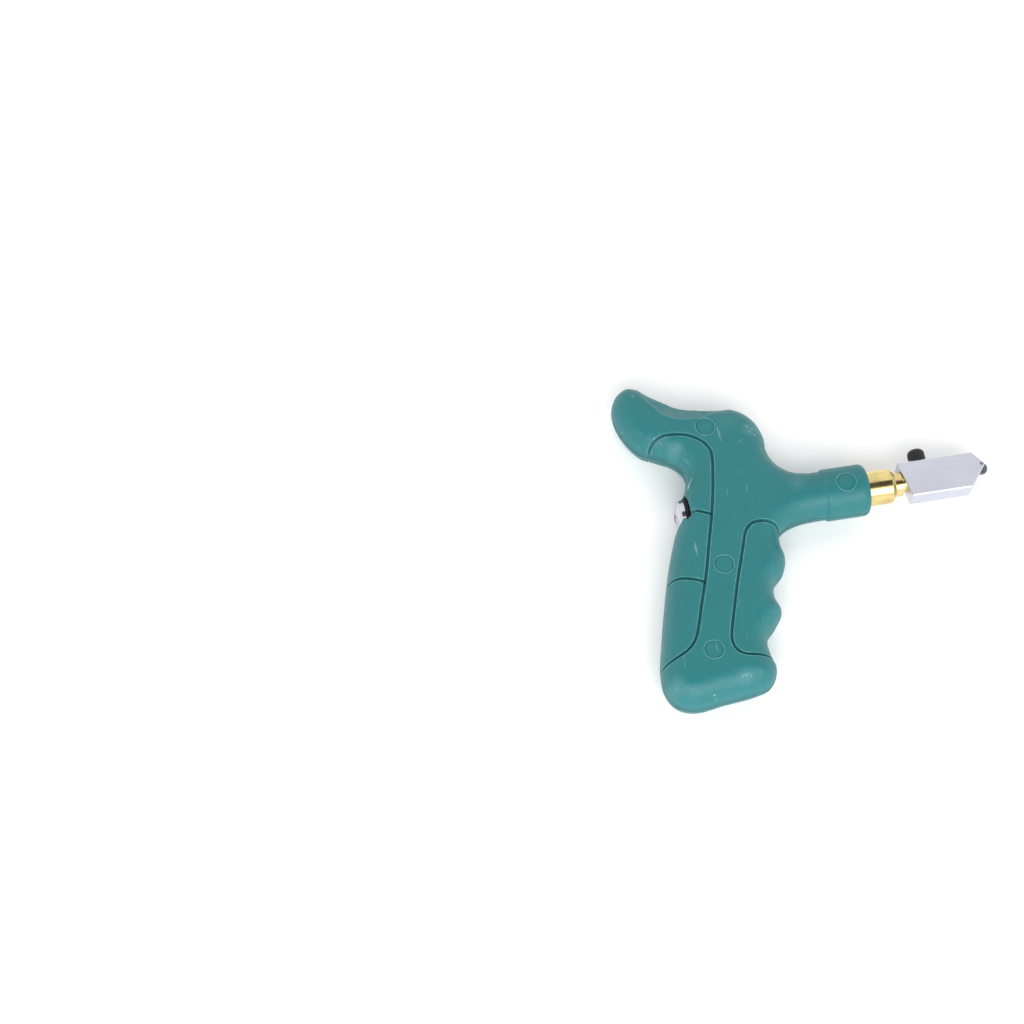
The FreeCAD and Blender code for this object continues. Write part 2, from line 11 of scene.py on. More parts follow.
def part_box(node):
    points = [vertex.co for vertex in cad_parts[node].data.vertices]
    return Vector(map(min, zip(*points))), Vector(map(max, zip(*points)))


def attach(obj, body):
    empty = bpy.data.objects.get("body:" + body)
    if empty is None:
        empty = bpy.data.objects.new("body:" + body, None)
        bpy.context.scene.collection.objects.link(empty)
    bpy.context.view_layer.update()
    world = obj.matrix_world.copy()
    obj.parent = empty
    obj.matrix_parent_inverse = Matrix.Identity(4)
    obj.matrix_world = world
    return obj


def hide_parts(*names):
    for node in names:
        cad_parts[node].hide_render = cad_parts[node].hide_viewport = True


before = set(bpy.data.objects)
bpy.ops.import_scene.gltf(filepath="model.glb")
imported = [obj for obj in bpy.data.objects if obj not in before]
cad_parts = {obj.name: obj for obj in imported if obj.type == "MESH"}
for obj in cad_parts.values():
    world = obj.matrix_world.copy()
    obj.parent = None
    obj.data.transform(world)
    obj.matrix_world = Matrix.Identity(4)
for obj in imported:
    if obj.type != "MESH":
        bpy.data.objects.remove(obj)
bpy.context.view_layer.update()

MM = 0.001

# ------------------------------------------------ places, from the frame ----

LEFT_HIGH = Vector(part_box("handle_left_shell")[1])
BARREL_LOW, BARREL_HIGH = (Vector(corner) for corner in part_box("oil_barrel"))
KNOB_LOW, KNOB_HIGH = (Vector(corner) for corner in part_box("head_screw"))
PLUG_LOW, PLUG_HIGH = (Vector(corner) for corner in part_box("filler_screw"))

# Local millimetres start where the barrel's axis leaves the handle's nose.
NOSE = Vector((LEFT_HIGH.x, (BARREL_LOW.y + BARREL_HIGH.y) / 2, (BARREL_LOW.z + BARREL_HIGH.z) / 2))
HALF_THICK = (LEFT_HIGH.z - NOSE.z) / MM
BARREL_REAR = (BARREL_LOW.x - NOSE.x) / MM
BARREL_RADIUS = (BARREL_HIGH.y - BARREL_LOW.y) / 2 / MM

# -------------------------------------------------------- handle outline ----

# Plan of the handle in local millimetres, in three runs that meet at its corners.
CROWN = [(-20.0, 8.7), (-26.0, 10.3), (-30.4, 14.2), (-32.4, 19.5), (-32.3, 25.0),
         (-34.0, 31.1), (-38.0, 35.9), (-42.5, 38.2), (-46.6, 38.5), (-54.2, 39.8),
         (-62.2, 42.7), (-70.3, 48.5)]
BACK = [(-70.3, 48.5), (-74.0, 51.9), (-78.3, 53.0), (-82.9, 49.8), (-84.8, 43.4),
        (-82.7, 34.4), (-77.8, 27.0), (-72.0, 23.8), (-67.0, 21.0), (-63.8, 16.5),
        (-63.7, 12.0), (-65.5, 7.4), (-67.5, 2.4), (-69.5, -2.8), (-71.9, -8.6), (-75.4, -17.6),
        (-79.2, -29.4), (-84.2, -47.6), (-86.6, -58.0), (-86.6, -65.0), (-83.6, -70.7),
        (-77.3, -73.4), (-66.0, -72.2), (-55.6, -71.0), (-49.6, -69.0), (-46.6, -63.4),
        (-47.6, -58.0), (-47.6, -52.4), (-43.6, -47.6), (-40.4, -42.6), (-41.7, -37.0),
        (-40.8, -32.4), (-37.0, -28.4), (-34.8, -23.0), (-35.4, -17.6), (-35.1, -13.4)]
BELLY = [(-35.1, -13.4), (-31.8, -10.9), (-26.5, -9.3), (-20.0, -8.7)]

# Moulded channels of the two grip panels, and the two short cross channels.
REAR_CHANNEL = [(-74.2, 23.0), (-74.6, 25.2), (-73.9, 26.5), (-72.2, 27.7), (-69.5, 28.6),
                (-65.3, 28.3), (-61.1, 27.3), (-57.8, 25.5), (-55.1, 22.8), (-53.8, 19.9),
                (-53.7, 16.9), (-54.6, 11.4), (-55.9, 4.8), (-58.4, -5.2), (-61.3, -15.0),
                (-65.1, -28.0), (-69.3, -40.0), (-71.3, -46.1), (-73.0, -50.2), (-75.0, -53.0),
                (-77.5, -55.0), (-81.3, -56.6), (-84.6, -57.6), (-88.0, -58.9)]
FRONT_CHANNEL = [(-34.4, -15.2), (-35.3, -13.1), (-36.8, -11.5), (-39.2, -10.8), (-42.1, -10.4),
                 (-44.7, -10.7), (-46.8, -12.1), (-48.4, -14.4), (-50.0, -18.9), (-54.8, -32.1),
                 (-58.8, -44.4), (-60.4, -49.5), (-61.1, -52.6), (-60.8, -55.6), (-59.5, -57.8),
                 (-57.1, -59.2), (-52.5, -59.9), (-49.4, -60.3), (-45.0, -61.2)]
PLUG_CHANNEL = [(-67.0, -0.6), (-64.8, -1.9), (-62.8, -3.0), (-60.8, -3.9), (-58.6, -5.0)]
MID_CHANNEL = [(-81.0, -27.8), (-77.8, -27.1), (-75.2, -27.1), (-72.0, -28.0), (-68.6, -29.1),
               (-66.0, -30.3)]
# Crease under the thumb saddle; the skin is scooped out above it.
SADDLE_CREASE = [(-72.9, 46.0), (-71.2, 42.4), (-69.8, 40.0), (-68.0, 37.4), (-64.7, 35.1),
                 (-60.8, 33.8), (-56.6, 33.4), (-52.8, 33.7), (-49.6, 35.0), (-47.0, 37.4)]
# Middles of the rings that the screw bosses leave on the upper half, and their radius.
BOSS_PLACES = [(-53.7, 29.4), (-58.0, -24.8), (-68.0, -55.8)]
NOSE_RING_PLACE = (-8.5, 0.0)
BOSS_RING = 3.4
COUNTERBORE = 3.2

# The round nose: its waist, its front, the rounding of its end and the step between.
WAIST_RADIUS = 8.7
NOSE_RADIUS = 9.3
NOSE_ROUND = 2.4
NOSE_STEP = (-16.7, -15.2)
NOSE_ARCS = 57
SLAB_END = -20.0
FRONT_END = 6.0

# The fine V between the halves: half its gap, and the bevel on each rim.
PARTING_GAP = 0.05
PARTING_BEVEL = 0.3


def smoothstep(low, high, x):
    """Smooth rise from nought at low to one at high."""
    t = np.clip((x - low) / (high - low), 0.0, 1.0)
    return t * t * (3 - 2 * t)


def curve_through(points, step):
    """Centripetal Catmull-Rom curve through the points, evenly resampled."""
    p = np.array(points, float)
    p = np.vstack([2 * p[0] - p[1], p, 2 * p[-1] - p[-2]])
    out = []
    for i in range(1, len(p) - 2):
        a, b, c, d = p[i - 1], p[i], p[i + 1], p[i + 2]
        ta = 0.0
        tb = ta + np.linalg.norm(b - a) ** 0.5
        tc = tb + np.linalg.norm(c - b) ** 0.5
        td = tc + np.linalg.norm(d - c) ** 0.5
        t = np.linspace(tb, tc, 40, endpoint=False)[:, None]
        ab = (tb - t) / (tb - ta) * a + (t - ta) / (tb - ta) * b
        bc = (tc - t) / (tc - tb) * b + (t - tb) / (tc - tb) * c
        cd = (td - t) / (td - tc) * c + (t - tc) / (td - tc) * d
        abc = (tc - t) / (tc - ta) * ab + (t - ta) / (tc - ta) * bc
        bcd = (td - t) / (td - tb) * bc + (t - tb) / (td - tb) * cd
        out.append((tc - t) / (tc - tb) * abc + (t - tb) / (tc - tb) * bcd)
    out = np.vstack(out + [p[-2:-1]])
    run = np.concatenate([[0.0], np.cumsum(np.linalg.norm(np.diff(out, axis=0), axis=1))])
    even = np.linspace(0.0, run[-1], max(2, int(round(run[-1] / step)) + 1))
    return np.stack([np.interp(even, run, out[:, k]) for k in (0, 1)], axis=1)


def distance_to(line, points):
    """Distance of each point to an open polyline."""
    a = line[:-1]
    ab = line[1:] - a
    length2 = (ab ** 2).sum(1)
    best = np.full(len(points), 1e9)
    for start in range(0, len(points), 2000):
        p = points[start:start + 2000, None, :] - a[None]
        t = np.clip((p * ab).sum(2) / length2, 0.0, 1.0)
        gap = p - t[..., None] * ab
        best[start:start + 2000] = np.sqrt((gap ** 2).sum(2)).min(1)
    return best


def inside(loop, points):
    """True for points within a closed polygon."""
    x, y = points[:, 0], points[:, 1]
    hit = np.zeros(len(points), bool)
    for (ax, ay), (bx, by) in zip(loop, np.roll(loop, -1, axis=0)):
        if ay != by:
            cross = (ay > y) != (by > y)
            hit ^= cross & (x < (bx - ax) * (y - ay) / (by - ay) + ax)
    return hit


def normals_of(line):
    """Unit normals to the left of an open polyline's direction."""
    along = np.gradient(line, axis=0)
    along /= np.linalg.norm(along, axis=1)[:, None]
    return np.stack([-along[:, 1], along[:, 0]], axis=1)


EDGE_STEP = 0.7
CHANNEL_STEP = 0.5
CROSS_STEP = 0.45
SIDE = np.vstack([curve_through(CROWN, EDGE_STEP), curve_through(BACK, EDGE_STEP)[1:],
                  curve_through(BELLY, EDGE_STEP)[1:]])
WALL = np.vstack([[(FRONT_END, WAIST_RADIUS)], SIDE, [(FRONT_END, -WAIST_RADIUS)]])
CHANNELS = [curve_through(REAR_CHANNEL, CHANNEL_STEP), curve_through(FRONT_CHANNEL, CHANNEL_STEP),
            curve_through(PLUG_CHANNEL, CROSS_STEP), curve_through(MID_CHANNEL, CROSS_STEP)]
SADDLE = curve_through(SADDLE_CREASE, CHANNEL_STEP)

# Areas on one side of a line: the saddle's scoop and the two lowered grip panels.
SADDLE_SIDE = np.vstack([SADDLE, [(-46, 46), (-72, 56)]])
REAR_PANEL = np.vstack([CHANNELS[0], [(-95, -60), (-95, 22)]])
FRONT_PANEL = np.vstack([CHANNELS[1], [(-30, -62), (-30, -17)]])

# Section of a channel and its rolled edge, and of the ring over a screw boss.
CHANNEL_HALF = 0.5
CHANNEL_FLAT = 0.45
CHANNEL_DEPTH = 0.85
CHANNEL_SHARE = 0.6
ROLL_PLACE = 0.72
ROLL_HALF = 0.22
ROLL_RISE = 0.07
PANEL_DROP = 0.25
POCKET_RADIUS = 7.2
POCKET_SIDE = -2.8
LIP_RISE = 0.16
LIP_PLACE = 0.1
LIP_HALF = 0.2
RING_GROOVE = 0.22
GROOVE_PLACE = -0.3
GROOVE_HALF = 0.22

# The skin's section: how far the rounding reaches in from the edge, and its crest,
# with what the foot and the tail add, and where those changes and the nose blend in.
ROUND_OVER = 7.6
END_ROUND = 1.6
CREST = 10.08
FOOT_RISE = 0.12
TAIL_DROP = 0.3
NOSE_BLEND = (-44.0, -24.0)
FOOT_BLEND = (-50.0, -62.0)
TAIL_BLEND_X = (-60.0, -74.0)
TAIL_BLEND_Y = (20.0, 32.0)
PANEL_BLEND = 0.5
PANEL_EDGE_BLEND = 1.6

# The saddle's scoop: height and slope from its crease, ends, and the ridge below it.
SCOOP_HIGH = 9.45
SCOOP_SLOPE = 0.8
SCOOP_FRONT = (-50.5, 0.9)
SCOOP_REAR = (-69.5, 0.8)
SCOOP_FADE = 3
RIDGE_RISE = 0.14
RIDGE_PLACE = 0.35
RIDGE_HALF = 0.4

# The pocket's rim: how far it reaches, how fast it widens, and where it ends.
RIM_INSET = 0.1
RIM_REACH = 1.8
RIM_FLARE = 1.45
RIM_TOP = 4.6
RIM_TOP_SLOPE = 5.0
RIM_SIDE_SLOPE = 3.0
NO_LIMIT = 99.0


def hump(value, middle, half):
    """Rounded bump of height one about the middle, and nothing past its half width."""
    return np.clip(1 - ((value - middle) / half) ** 2, 0.0, 1.0)


def ring_relief(points, place, radius):
    """Raised lip and the fine groove inside it, left where a boss is moulded."""
    out = np.hypot(points[:, 0] - place[0], points[:, 1] - place[1]) - radius
    lip = LIP_RISE * hump(out, LIP_PLACE, LIP_HALF)
    groove = RING_GROOVE * hump(out, GROOVE_PLACE, GROOVE_HALF)
    return lip - groove


def channel_shape(gap):
    """Flat-bottomed channel section with a faint rolled edge outside."""
    floor = 1 - smoothstep(CHANNEL_HALF * CHANNEL_FLAT, CHANNEL_HALF, gap)
    roll = hump(gap, ROLL_PLACE, ROLL_HALF)
    return floor - ROLL_RISE * roll


def rim_falloff(points):
    """Height limit where the skin is rounded off over the filler pocket."""
    x, y = points[:, 0], points[:, 1]
    radius = POCKET_RADIUS - RIM_INSET + (x - BARREL_REAR) * RIM_FLARE
    over = np.sqrt(np.clip(radius ** 2 - y ** 2, 0.0, None))
    side = np.clip(POCKET_SIDE - y, 0.0, None) * RIM_SIDE_SLOPE
    over += side + np.clip(y - RIM_TOP, 0.0, None) * RIM_TOP_SLOPE
    return np.where((x < BARREL_REAR + RIM_REACH) & (radius > np.abs(y)), over, NO_LIMIT)


def lifted(h):
    """Height once the fine bevel at the parting plane is under the skin."""
    return PARTING_BEVEL + h * (1 - PARTING_BEVEL / HALF_THICK)


def heights(points, bosses):
    """Height of the handle's skin above the parting plane."""
    x, y = points[:, 0], points[:, 1]
    d = distance_to(WALL, points)
    near_nose = smoothstep(*NOSE_BLEND, x)
    foot = smoothstep(*FOOT_BLEND, y)
    tail = smoothstep(*TAIL_BLEND_X, x) * smoothstep(*TAIL_BLEND_Y, y)
    round_over = ROUND_OVER + END_ROUND * foot + END_ROUND * tail
    round_over = round_over * (1 - near_nose) + WAIST_RADIUS * near_nose
    crest = CREST + FOOT_RISE * foot - TAIL_DROP * tail
    crest = crest * (1 - near_nose) + WAIST_RADIUS * near_nose
    rim = 1 - np.clip(d / round_over, 0.0, 1.0)
    h = crest * np.sqrt(np.clip(1 - rim ** 2, 0.0, 1.0))
    crease = distance_to(SADDLE, points)
    above = inside(SADDLE_SIDE, points)
    ends = SCOOP_FRONT[1] * np.clip(x - SCOOP_FRONT[0], 0.0, None)
    ends += SCOOP_REAR[1] * np.clip(SCOOP_REAR[0] - x, 0.0, None)
    scoop = np.where(above, SCOOP_HIGH - SCOOP_SLOPE * crease + ends, NO_LIMIT)
    h = np.minimum(h, scoop)
    ridge = hump(crease, RIDGE_PLACE, RIDGE_HALF) * (~above)
    h += RIDGE_RISE * ridge * np.clip(1 - ends / SCOOP_FADE, 0.0, 1.0)
    panel = (inside(REAR_PANEL, points) | inside(FRONT_PANEL, points)).astype(float)
    panel_edge = np.minimum(distance_to(CHANNELS[0], points), distance_to(CHANNELS[1], points))
    lowered = PANEL_DROP * panel * smoothstep(0.0, PANEL_BLEND, panel_edge)
    h -= lowered * smoothstep(0.0, PANEL_EDGE_BLEND, d)
    for line in CHANNELS:
        h -= np.minimum(CHANNEL_DEPTH, CHANNEL_SHARE * h) * channel_shape(distance_to(line, points))
    for place in bosses:
        h += ring_relief(points, place, BOSS_RING)
    h = np.minimum(h, rim_falloff(points))
    return np.maximum(h, 0.0)


# ----------------------------------------------------------- handle mesh ----

# Spacing of the mesh points, in millimetres from the line or ring that they follow.
CELL = 0.5
RIM_TURNS = [9, 18, 28, 38, 48, 58, 68, 79]
RIM_DEEP = 8.2
RIM_CLEAR = 0.97
RIM_LEAST = 0.12
RIM_SPREAD = 0.4
RIM_MOST = 0.45
SEAM_CLEAR = 0.5
CHANNEL_OFFSETS = (0.0, 0.22, 0.36, 0.5, 0.61, 0.72, 0.94, 1.3)
SADDLE_OFFSETS = (0.0, 0.3, 0.65, 1.1, 1.7, 2.4, 3.2)
RING_OFFSETS = (-0.7, -0.52, -0.41, -0.3, -0.19, -0.1, 0.0, 0.1, 0.2, 0.31, 0.6)
RING_STEPS = 120
LINE_LEAST = 0.085
LINE_CLEAR = 0.25
POCKET_STEP = 0.42
POCKET_ALONG = (-3.4, 1.9)
POCKET_ACROSS = (-5.0, 8.5)
GRID_STEP = 0.95
GRID_SHIFT = 0.47
GRID_LEAST = 0.5
GRID_CLEAR = 0.4
NOSE_LEAST = 0.3
WELD = 2e-3
GRID_LOW = (-88.0, -75.0)
GRID_TOP = 54.0


def thinned(loop, groups):
    """The loop and the points of all groups, leaving out any too near to an earlier one."""
    kept = []
    cells = {}
    for points, least in [(loop, 0.0)] + groups:
        for x, y in points:
            column, row = int(x // CELL), int(y // CELL)
            near = [q for i in (-1, 0, 1) for j in (-1, 0, 1)
                    for q in cells.get((column + i, row + j), ())]
            if all((q[0] - x) ** 2 + (q[1] - y) ** 2 > least ** 2 for q in near):
                kept.append((float(x), float(y)))
                cells.setdefault((column, row), []).append((x, y))
    return kept


def skin_points(bosses):
    """Boundary loop and inner points of the heightfield part of the handle."""
    arc = np.linspace(0.0, math.pi, NOSE_ARCS)
    seam = [(SLAB_END, WAIST_RADIUS * math.cos(a)) for a in arc][::-1]
    loop = [tuple(p) for p in SIDE] + seam[1:-1]
    inner = []
    normal = normals_of(SIDE)
    for turn in np.radians(RIM_TURNS):
        inset = RIM_DEEP * (1 - math.cos(turn))
        for side in (1, -1):
            ring = SIDE + side * normal * inset
            good = inside(np.array(loop), ring) & (distance_to(WALL, ring) > inset * RIM_CLEAR)
            good &= ring[:, 0] < SLAB_END - SEAM_CLEAR
            inner.append((ring[good], min(RIM_LEAST + inset * RIM_SPREAD, RIM_MOST)))
    rows = []
    for line in CHANNELS:
        across = normals_of(line)
        for offset in CHANNEL_OFFSETS:
            rows += [line + across * offset, line - across * offset]
    for offset in SADDLE_OFFSETS:
        rows.append(SADDLE + normals_of(SADDLE) * offset)
        rows.append(SADDLE - normals_of(SADDLE) * offset)
    for place in bosses:
        rows += ring_points(place, BOSS_RING)
    fine = np.arange(*POCKET_ALONG, POCKET_STEP)
    tall = np.arange(*POCKET_ACROSS, POCKET_STEP)
    rows.append(np.array([(BARREL_REAR + a, b) for a in fine for b in tall]))
    rows = np.vstack(rows)
    rows = rows[inside(np.array(loop), rows) & (distance_to(WALL, rows) > LINE_CLEAR)]
    xs = np.arange(GRID_LOW[0], SLAB_END - GRID_CLEAR, GRID_STEP)
    ys = np.arange(GRID_LOW[1], GRID_TOP, GRID_STEP)
    grid = np.array([(a + (GRID_SHIFT if i % 2 else 0.0), b) for i, b in enumerate(ys) for a in xs])
    grid = grid[inside(np.array(loop), grid) & (distance_to(WALL, grid) > GRID_CLEAR)]
    grid = grid[grid[:, 0] < SLAB_END - GRID_CLEAR]
    return loop, thinned(loop, [(rows, LINE_LEAST)] + inner + [(grid, GRID_LEAST)])


def ring_points(place, radius):
    """Circles of points on both sides of a boss ring, close enough for its relief."""
    angles = np.linspace(0, 2 * math.pi, RING_STEPS, endpoint=False)
    around = np.stack([np.cos(angles), np.sin(angles)], axis=1)
    return [np.array(place) + around * (radius + out) for out in RING_OFFSETS]


def nose_profile():
    """Stations (run, x, radius) of the round nose, from the slab to its end."""
    foot_x, top_x = NOSE_STEP
    stations = [(x, WAIST_RADIUS) for x in np.linspace(SLAB_END, foot_x, 6)]
    for t in np.linspace(0.0, 1.0, 9)[1:]:
        rise = (NOSE_RADIUS - WAIST_RADIUS) * t * t * (3 - 2 * t)
        stations.append((foot_x + (top_x - foot_x) * t, WAIST_RADIUS + rise))
    stations += [(x, NOSE_RADIUS) for x in np.linspace(top_x, -NOSE_ROUND, 16)[1:]]
    for a in np.radians(np.linspace(0, 90, 10)[1:]):
        radius = NOSE_RADIUS - NOSE_ROUND * (1 - math.cos(a))
        stations.append((-NOSE_ROUND * (1 - math.sin(a)), radius))
    stations = np.array(stations)
    run = np.concatenate([[0.0], np.cumsum(np.linalg.norm(np.diff(stations, axis=0), axis=1))])
    return np.column_stack([run, stations])


def nose_skin(ringed):
    """Triangles of the nose above the parting, laid out flat as (run, arc) first."""
    profile = nose_profile()
    half = math.pi / 2
    arcs = np.linspace(-half, half, NOSE_ARCS)
    end = profile[-1, 0]
    loop = [(0.0, a) for a in arcs] + [(r, half) for r in profile[1:, 0]]
    loop += [(end, a) for a in arcs[::-1][1:]] + [(r, -half) for r in profile[::-1][1:-1, 0]]
    loop = [(r, a * NOSE_RADIUS) for r, a in loop]
    place_run = float(np.interp(NOSE_RING_PLACE[0], profile[:, 1], profile[:, 0]))
    groups = []
    if ringed:
        rings = np.vstack(ring_points((place_run, NOSE_RING_PLACE[1]), BOSS_RING))
        rings[:, 1] = np.arcsin(rings[:, 1] / NOSE_RADIUS) * NOSE_RADIUS
        groups.append((rings, LINE_LEAST))
    grid = np.array([(r, a * NOSE_RADIUS) for r in profile[1:-1, 0] for a in arcs[1:-1]])
    flat = thinned(loop, groups + [(grid, NOSE_LEAST)])
    edges = [(i, (i + 1) % len(loop)) for i in range(len(loop))]
    verts, _, faces, _, _, _ = delaunay_2d_cdt([Vector(p) for p in flat], edges, [], 1, 1e-5)
    plan = np.array([tuple(v) for v in verts])
    angle = plan[:, 1] / NOSE_RADIUS
    x = np.interp(plan[:, 0], profile[:, 0], profile[:, 1])
    radius = np.interp(plan[:, 0], profile[:, 0], profile[:, 2])
    spread = np.stack([x, radius * np.sin(angle)], axis=1)
    if ringed:
        radius = radius + ring_relief(spread, NOSE_RING_PLACE, BOSS_RING)
    return np.stack([x, radius * np.sin(angle), radius * np.cos(angle)], axis=1), faces


def linked(name, mesh):
    """Object in the scene made of a finished bmesh."""
    data = bpy.data.meshes.new(name)
    mesh.to_mesh(data)
    mesh.free()
    piece = bpy.data.objects.new(name, data)
    bpy.context.scene.collection.objects.link(piece)
    return piece


def half_handle(name, side):
    """Closed solid of one moulded half: side is 1 above the parting, -1 below."""
    bosses = BOSS_PLACES if side > 0 else []
    loop, points = skin_points(bosses)
    edges = [(i, (i + 1) % len(loop)) for i in range(len(loop))]
    verts, _, faces, _, _, _ = delaunay_2d_cdt([Vector(p) for p in points], edges, [], 1, 1e-5)
    plan = np.array([tuple(v) for v in verts])
    h = heights(plan, bosses)
    on_edge = distance_to(SIDE, plan) < 1e-3
    h[on_edge & (plan[:, 0] < SLAB_END - 1e-3)] = 0.0
    at_seam = np.abs(plan[:, 0] - SLAB_END) < 1e-4
    h[at_seam] = np.sqrt(np.clip(WAIST_RADIUS ** 2 - plan[at_seam, 1] ** 2, 0, None))
    nose, nose_faces = nose_skin(side > 0)
    mesh = bmesh.new()
    slab_verts = [mesh.verts.new((p[0], p[1], lifted(z))) for p, z in zip(plan, h)]
    nose_verts = [mesh.verts.new((p[0], p[1], lifted(p[2]))) for p in nose]
    for face in faces:
        mesh.faces.new([slab_verts[i] for i in face])
    for face in nose_faces:
        mesh.faces.new([nose_verts[i] for i in face])
    bmesh.ops.remove_doubles(mesh, verts=mesh.verts, dist=WELD)
    front = [e for e in mesh.edges if len(e.link_faces) == 1 and all(v.co.x > -1e-3 for v in e.verts)]
    rim = [e for e in mesh.edges if len(e.link_faces) == 1]
    level = [e for e in rim if e not in front]
    inner = bevel_parting(mesh, level + close_front(mesh, front))
    bmesh.ops.triangle_fill(mesh, use_beauty=True, edges=inner)
    bmesh.ops.recalc_face_normals(mesh, faces=mesh.faces)
    to_row = Matrix.Translation(NOSE + Vector((0, 0, side * PARTING_GAP * MM)))
    to_row = to_row @ Matrix.Diagonal((MM, MM, side * MM, 1.0))
    bmesh.ops.transform(mesh, matrix=to_row, verts=mesh.verts)
    if side < 0:
        bmesh.ops.reverse_faces(mesh, faces=mesh.faces)
    return linked(name, mesh)


def in_order(edges):
    """Vertices of one closed loop of edges, in order."""
    links = {}
    for edge in edges:
        first, second = edge.verts
        links.setdefault(first, []).append(second)
        links.setdefault(second, []).append(first)
    before, here = None, edges[0].verts[0]
    chain = [here]
    while True:
        after = next(v for v in links[here] if v != before)
        if after == chain[0]:
            return chain
        chain.append(after)
        before, here = here, after


def bevel_parting(mesh, rim):
    """Folds the rim inwards down to the parting plane and returns its new edges."""
    chain = in_order(rim)
    plan = np.array([(v.co.x, v.co.y) for v in chain])
    ahead = np.roll(plan, -1, axis=0)
    along = ahead - np.roll(plan, 1, axis=0)
    along /= np.linalg.norm(along, axis=1)[:, None]
    turn = np.sign((plan[:, 0] * ahead[:, 1] - plan[:, 1] * ahead[:, 0]).sum())
    inwards = turn * np.stack([-along[:, 1], along[:, 0]], axis=1)
    inner = [mesh.verts.new((x, y, 0.0)) for x, y in plan + inwards * PARTING_BEVEL]
    edges = []
    for i, vert in enumerate(chain):
        j = (i + 1) % len(chain)
        mesh.faces.new((vert, chain[j], inner[j], inner[i]))
        edges.append(mesh.edges.get((inner[i], inner[j])))
    return edges


def close_front(mesh, arc):
    """Fills the half-round nose end and returns its edge on the parting plane."""
    ends = [v for e in arc for v in e.verts if sum(v in other.verts for other in arc) == 1]
    chord = mesh.edges.new(ends[:2])
    bmesh.ops.triangle_fill(mesh, use_beauty=True, edges=arc + [chord])
    return [chord]


def cutter_drum(low, high, radius, axis):
    """Cylinder used to cut a round space, from low to high in row metres."""
    mesh = bmesh.new()
    depth = (high - low).length
    bmesh.ops.create_cone(mesh, cap_ends=True, segments=96, radius1=radius, radius2=radius, depth=depth)
    turn = Matrix.Rotation(math.pi / 2, 4, "Y") if axis == "X" else Matrix.Identity(4)
    bmesh.ops.transform(mesh, matrix=Matrix.Translation((low + high) / 2) @ turn, verts=mesh.verts)
    return linked("drum", mesh)


def carve(piece, drums):
    """Cuts the drums out of a piece and leaves only its mesh."""
    for drum in drums:
        cut = piece.modifiers.new("cut", "BOOLEAN")
        cut.operation = "DIFFERENCE"
        cut.solver = "EXACT"
        cut.object = drum
    bpy.context.view_layer.update()
    graph = bpy.context.evaluated_depsgraph_get()
    data = bpy.data.meshes.new_from_object(piece.evaluated_get(graph))
    piece.modifiers.clear()
    old = piece.data
    piece.data = data
    bpy.data.meshes.remove(old)
    for drum in drums:
        drum_data = drum.data
        bpy.data.objects.remove(drum)
        bpy.data.meshes.remove(drum_data)


def smooth(piece, degrees):
    """Smooth shading that keeps edges sharper than the angle."""
    piece.data.shade_smooth()
    piece.data.set_sharp_from_angle(angle=math.radians(degrees))


def local(x, y, z=0.0):
    """Row position of local millimetres on the barrel's axis frame."""
    return NOSE + Vector((x, y, z)) * MM


# ------------------------------------------------------------- materials ----

def new_material(name, color, metallic, roughness):
    """Material with its node tree and its shader, set to plain values."""
    material = bpy.data.materials.new(name)
    material.use_nodes = True
    shader = material.node_tree.nodes["Principled BSDF"]
    shader.inputs["Base Color"].default_value = (*color, 1.0)
    shader.inputs["Metallic"].default_value = metallic
    shader.inputs["Roughness"].default_value = roughness
    return material, material.node_tree, shader


def node(tree, kind, **values):
    """New node; each value goes to the input of that name, or to the setting."""
    made = tree.nodes.new(kind)
    for key, value in values.items():
        if key in made.inputs:
            made.inputs[key].default_value = value
        else:
            setattr(made, key, value)
    return made


def noise(tree, scale, detail, rough=0.55, stretch=(1, 1, 1)):
    """Noise in the row's metres; scale is in cells per metre."""
    place = node(tree, "ShaderNodeTexCoord")
    mapping = node(tree, "ShaderNodeMapping")
    mapping.inputs["Scale"].default_value = stretch
    tree.links.new(place.outputs["Object"], mapping.inputs["Vector"])
    made = node(tree, "ShaderNodeTexNoise", Scale=scale, Detail=detail, Roughness=rough)
    tree.links.new(mapping.outputs["Vector"], made.inputs["Vector"])
    return made.outputs["Fac"]


def ramp(tree, source, low, high, low_value, high_value):
    """Linear map of a factor to a range, clamped at both ends."""
    made = node(tree, "ShaderNodeMapRange")
    made.inputs["From Min"].default_value = low
    made.inputs["From Max"].default_value = high
    made.inputs["To Min"].default_value = low_value
    made.inputs["To Max"].default_value = high_value
    tree.links.new(source, made.inputs["Value"])
    return made.outputs["Result"]


# Sockets of the Mix node when it mixes colours.
MIX_FIRST = 6
MIX_SECOND = 7
MIX_RESULT = 2


def mix_color(tree, factor, first, second):
    """Mix of two colours, or colour sockets, by a factor."""
    made = node(tree, "ShaderNodeMix", data_type="RGBA")
    tree.links.new(factor, made.inputs["Factor"])
    for slot, value in ((MIX_FIRST, first), (MIX_SECOND, second)):
        if isinstance(value, tuple):
            made.inputs[slot].default_value = (*value, 1.0)
        else:
            tree.links.new(value, made.inputs[slot])
    return made.outputs[MIX_RESULT]


def math_node(tree, operation, first, second):
    """Result of a math operation on two numbers or sockets."""
    made = node(tree, "ShaderNodeMath", operation=operation)
    for slot, value in ((0, first), (1, second)):
        if isinstance(value, (int, float)):
            made.inputs[slot].default_value = value
        else:
            tree.links.new(value, made.inputs[slot])
    return made.outputs["Value"]


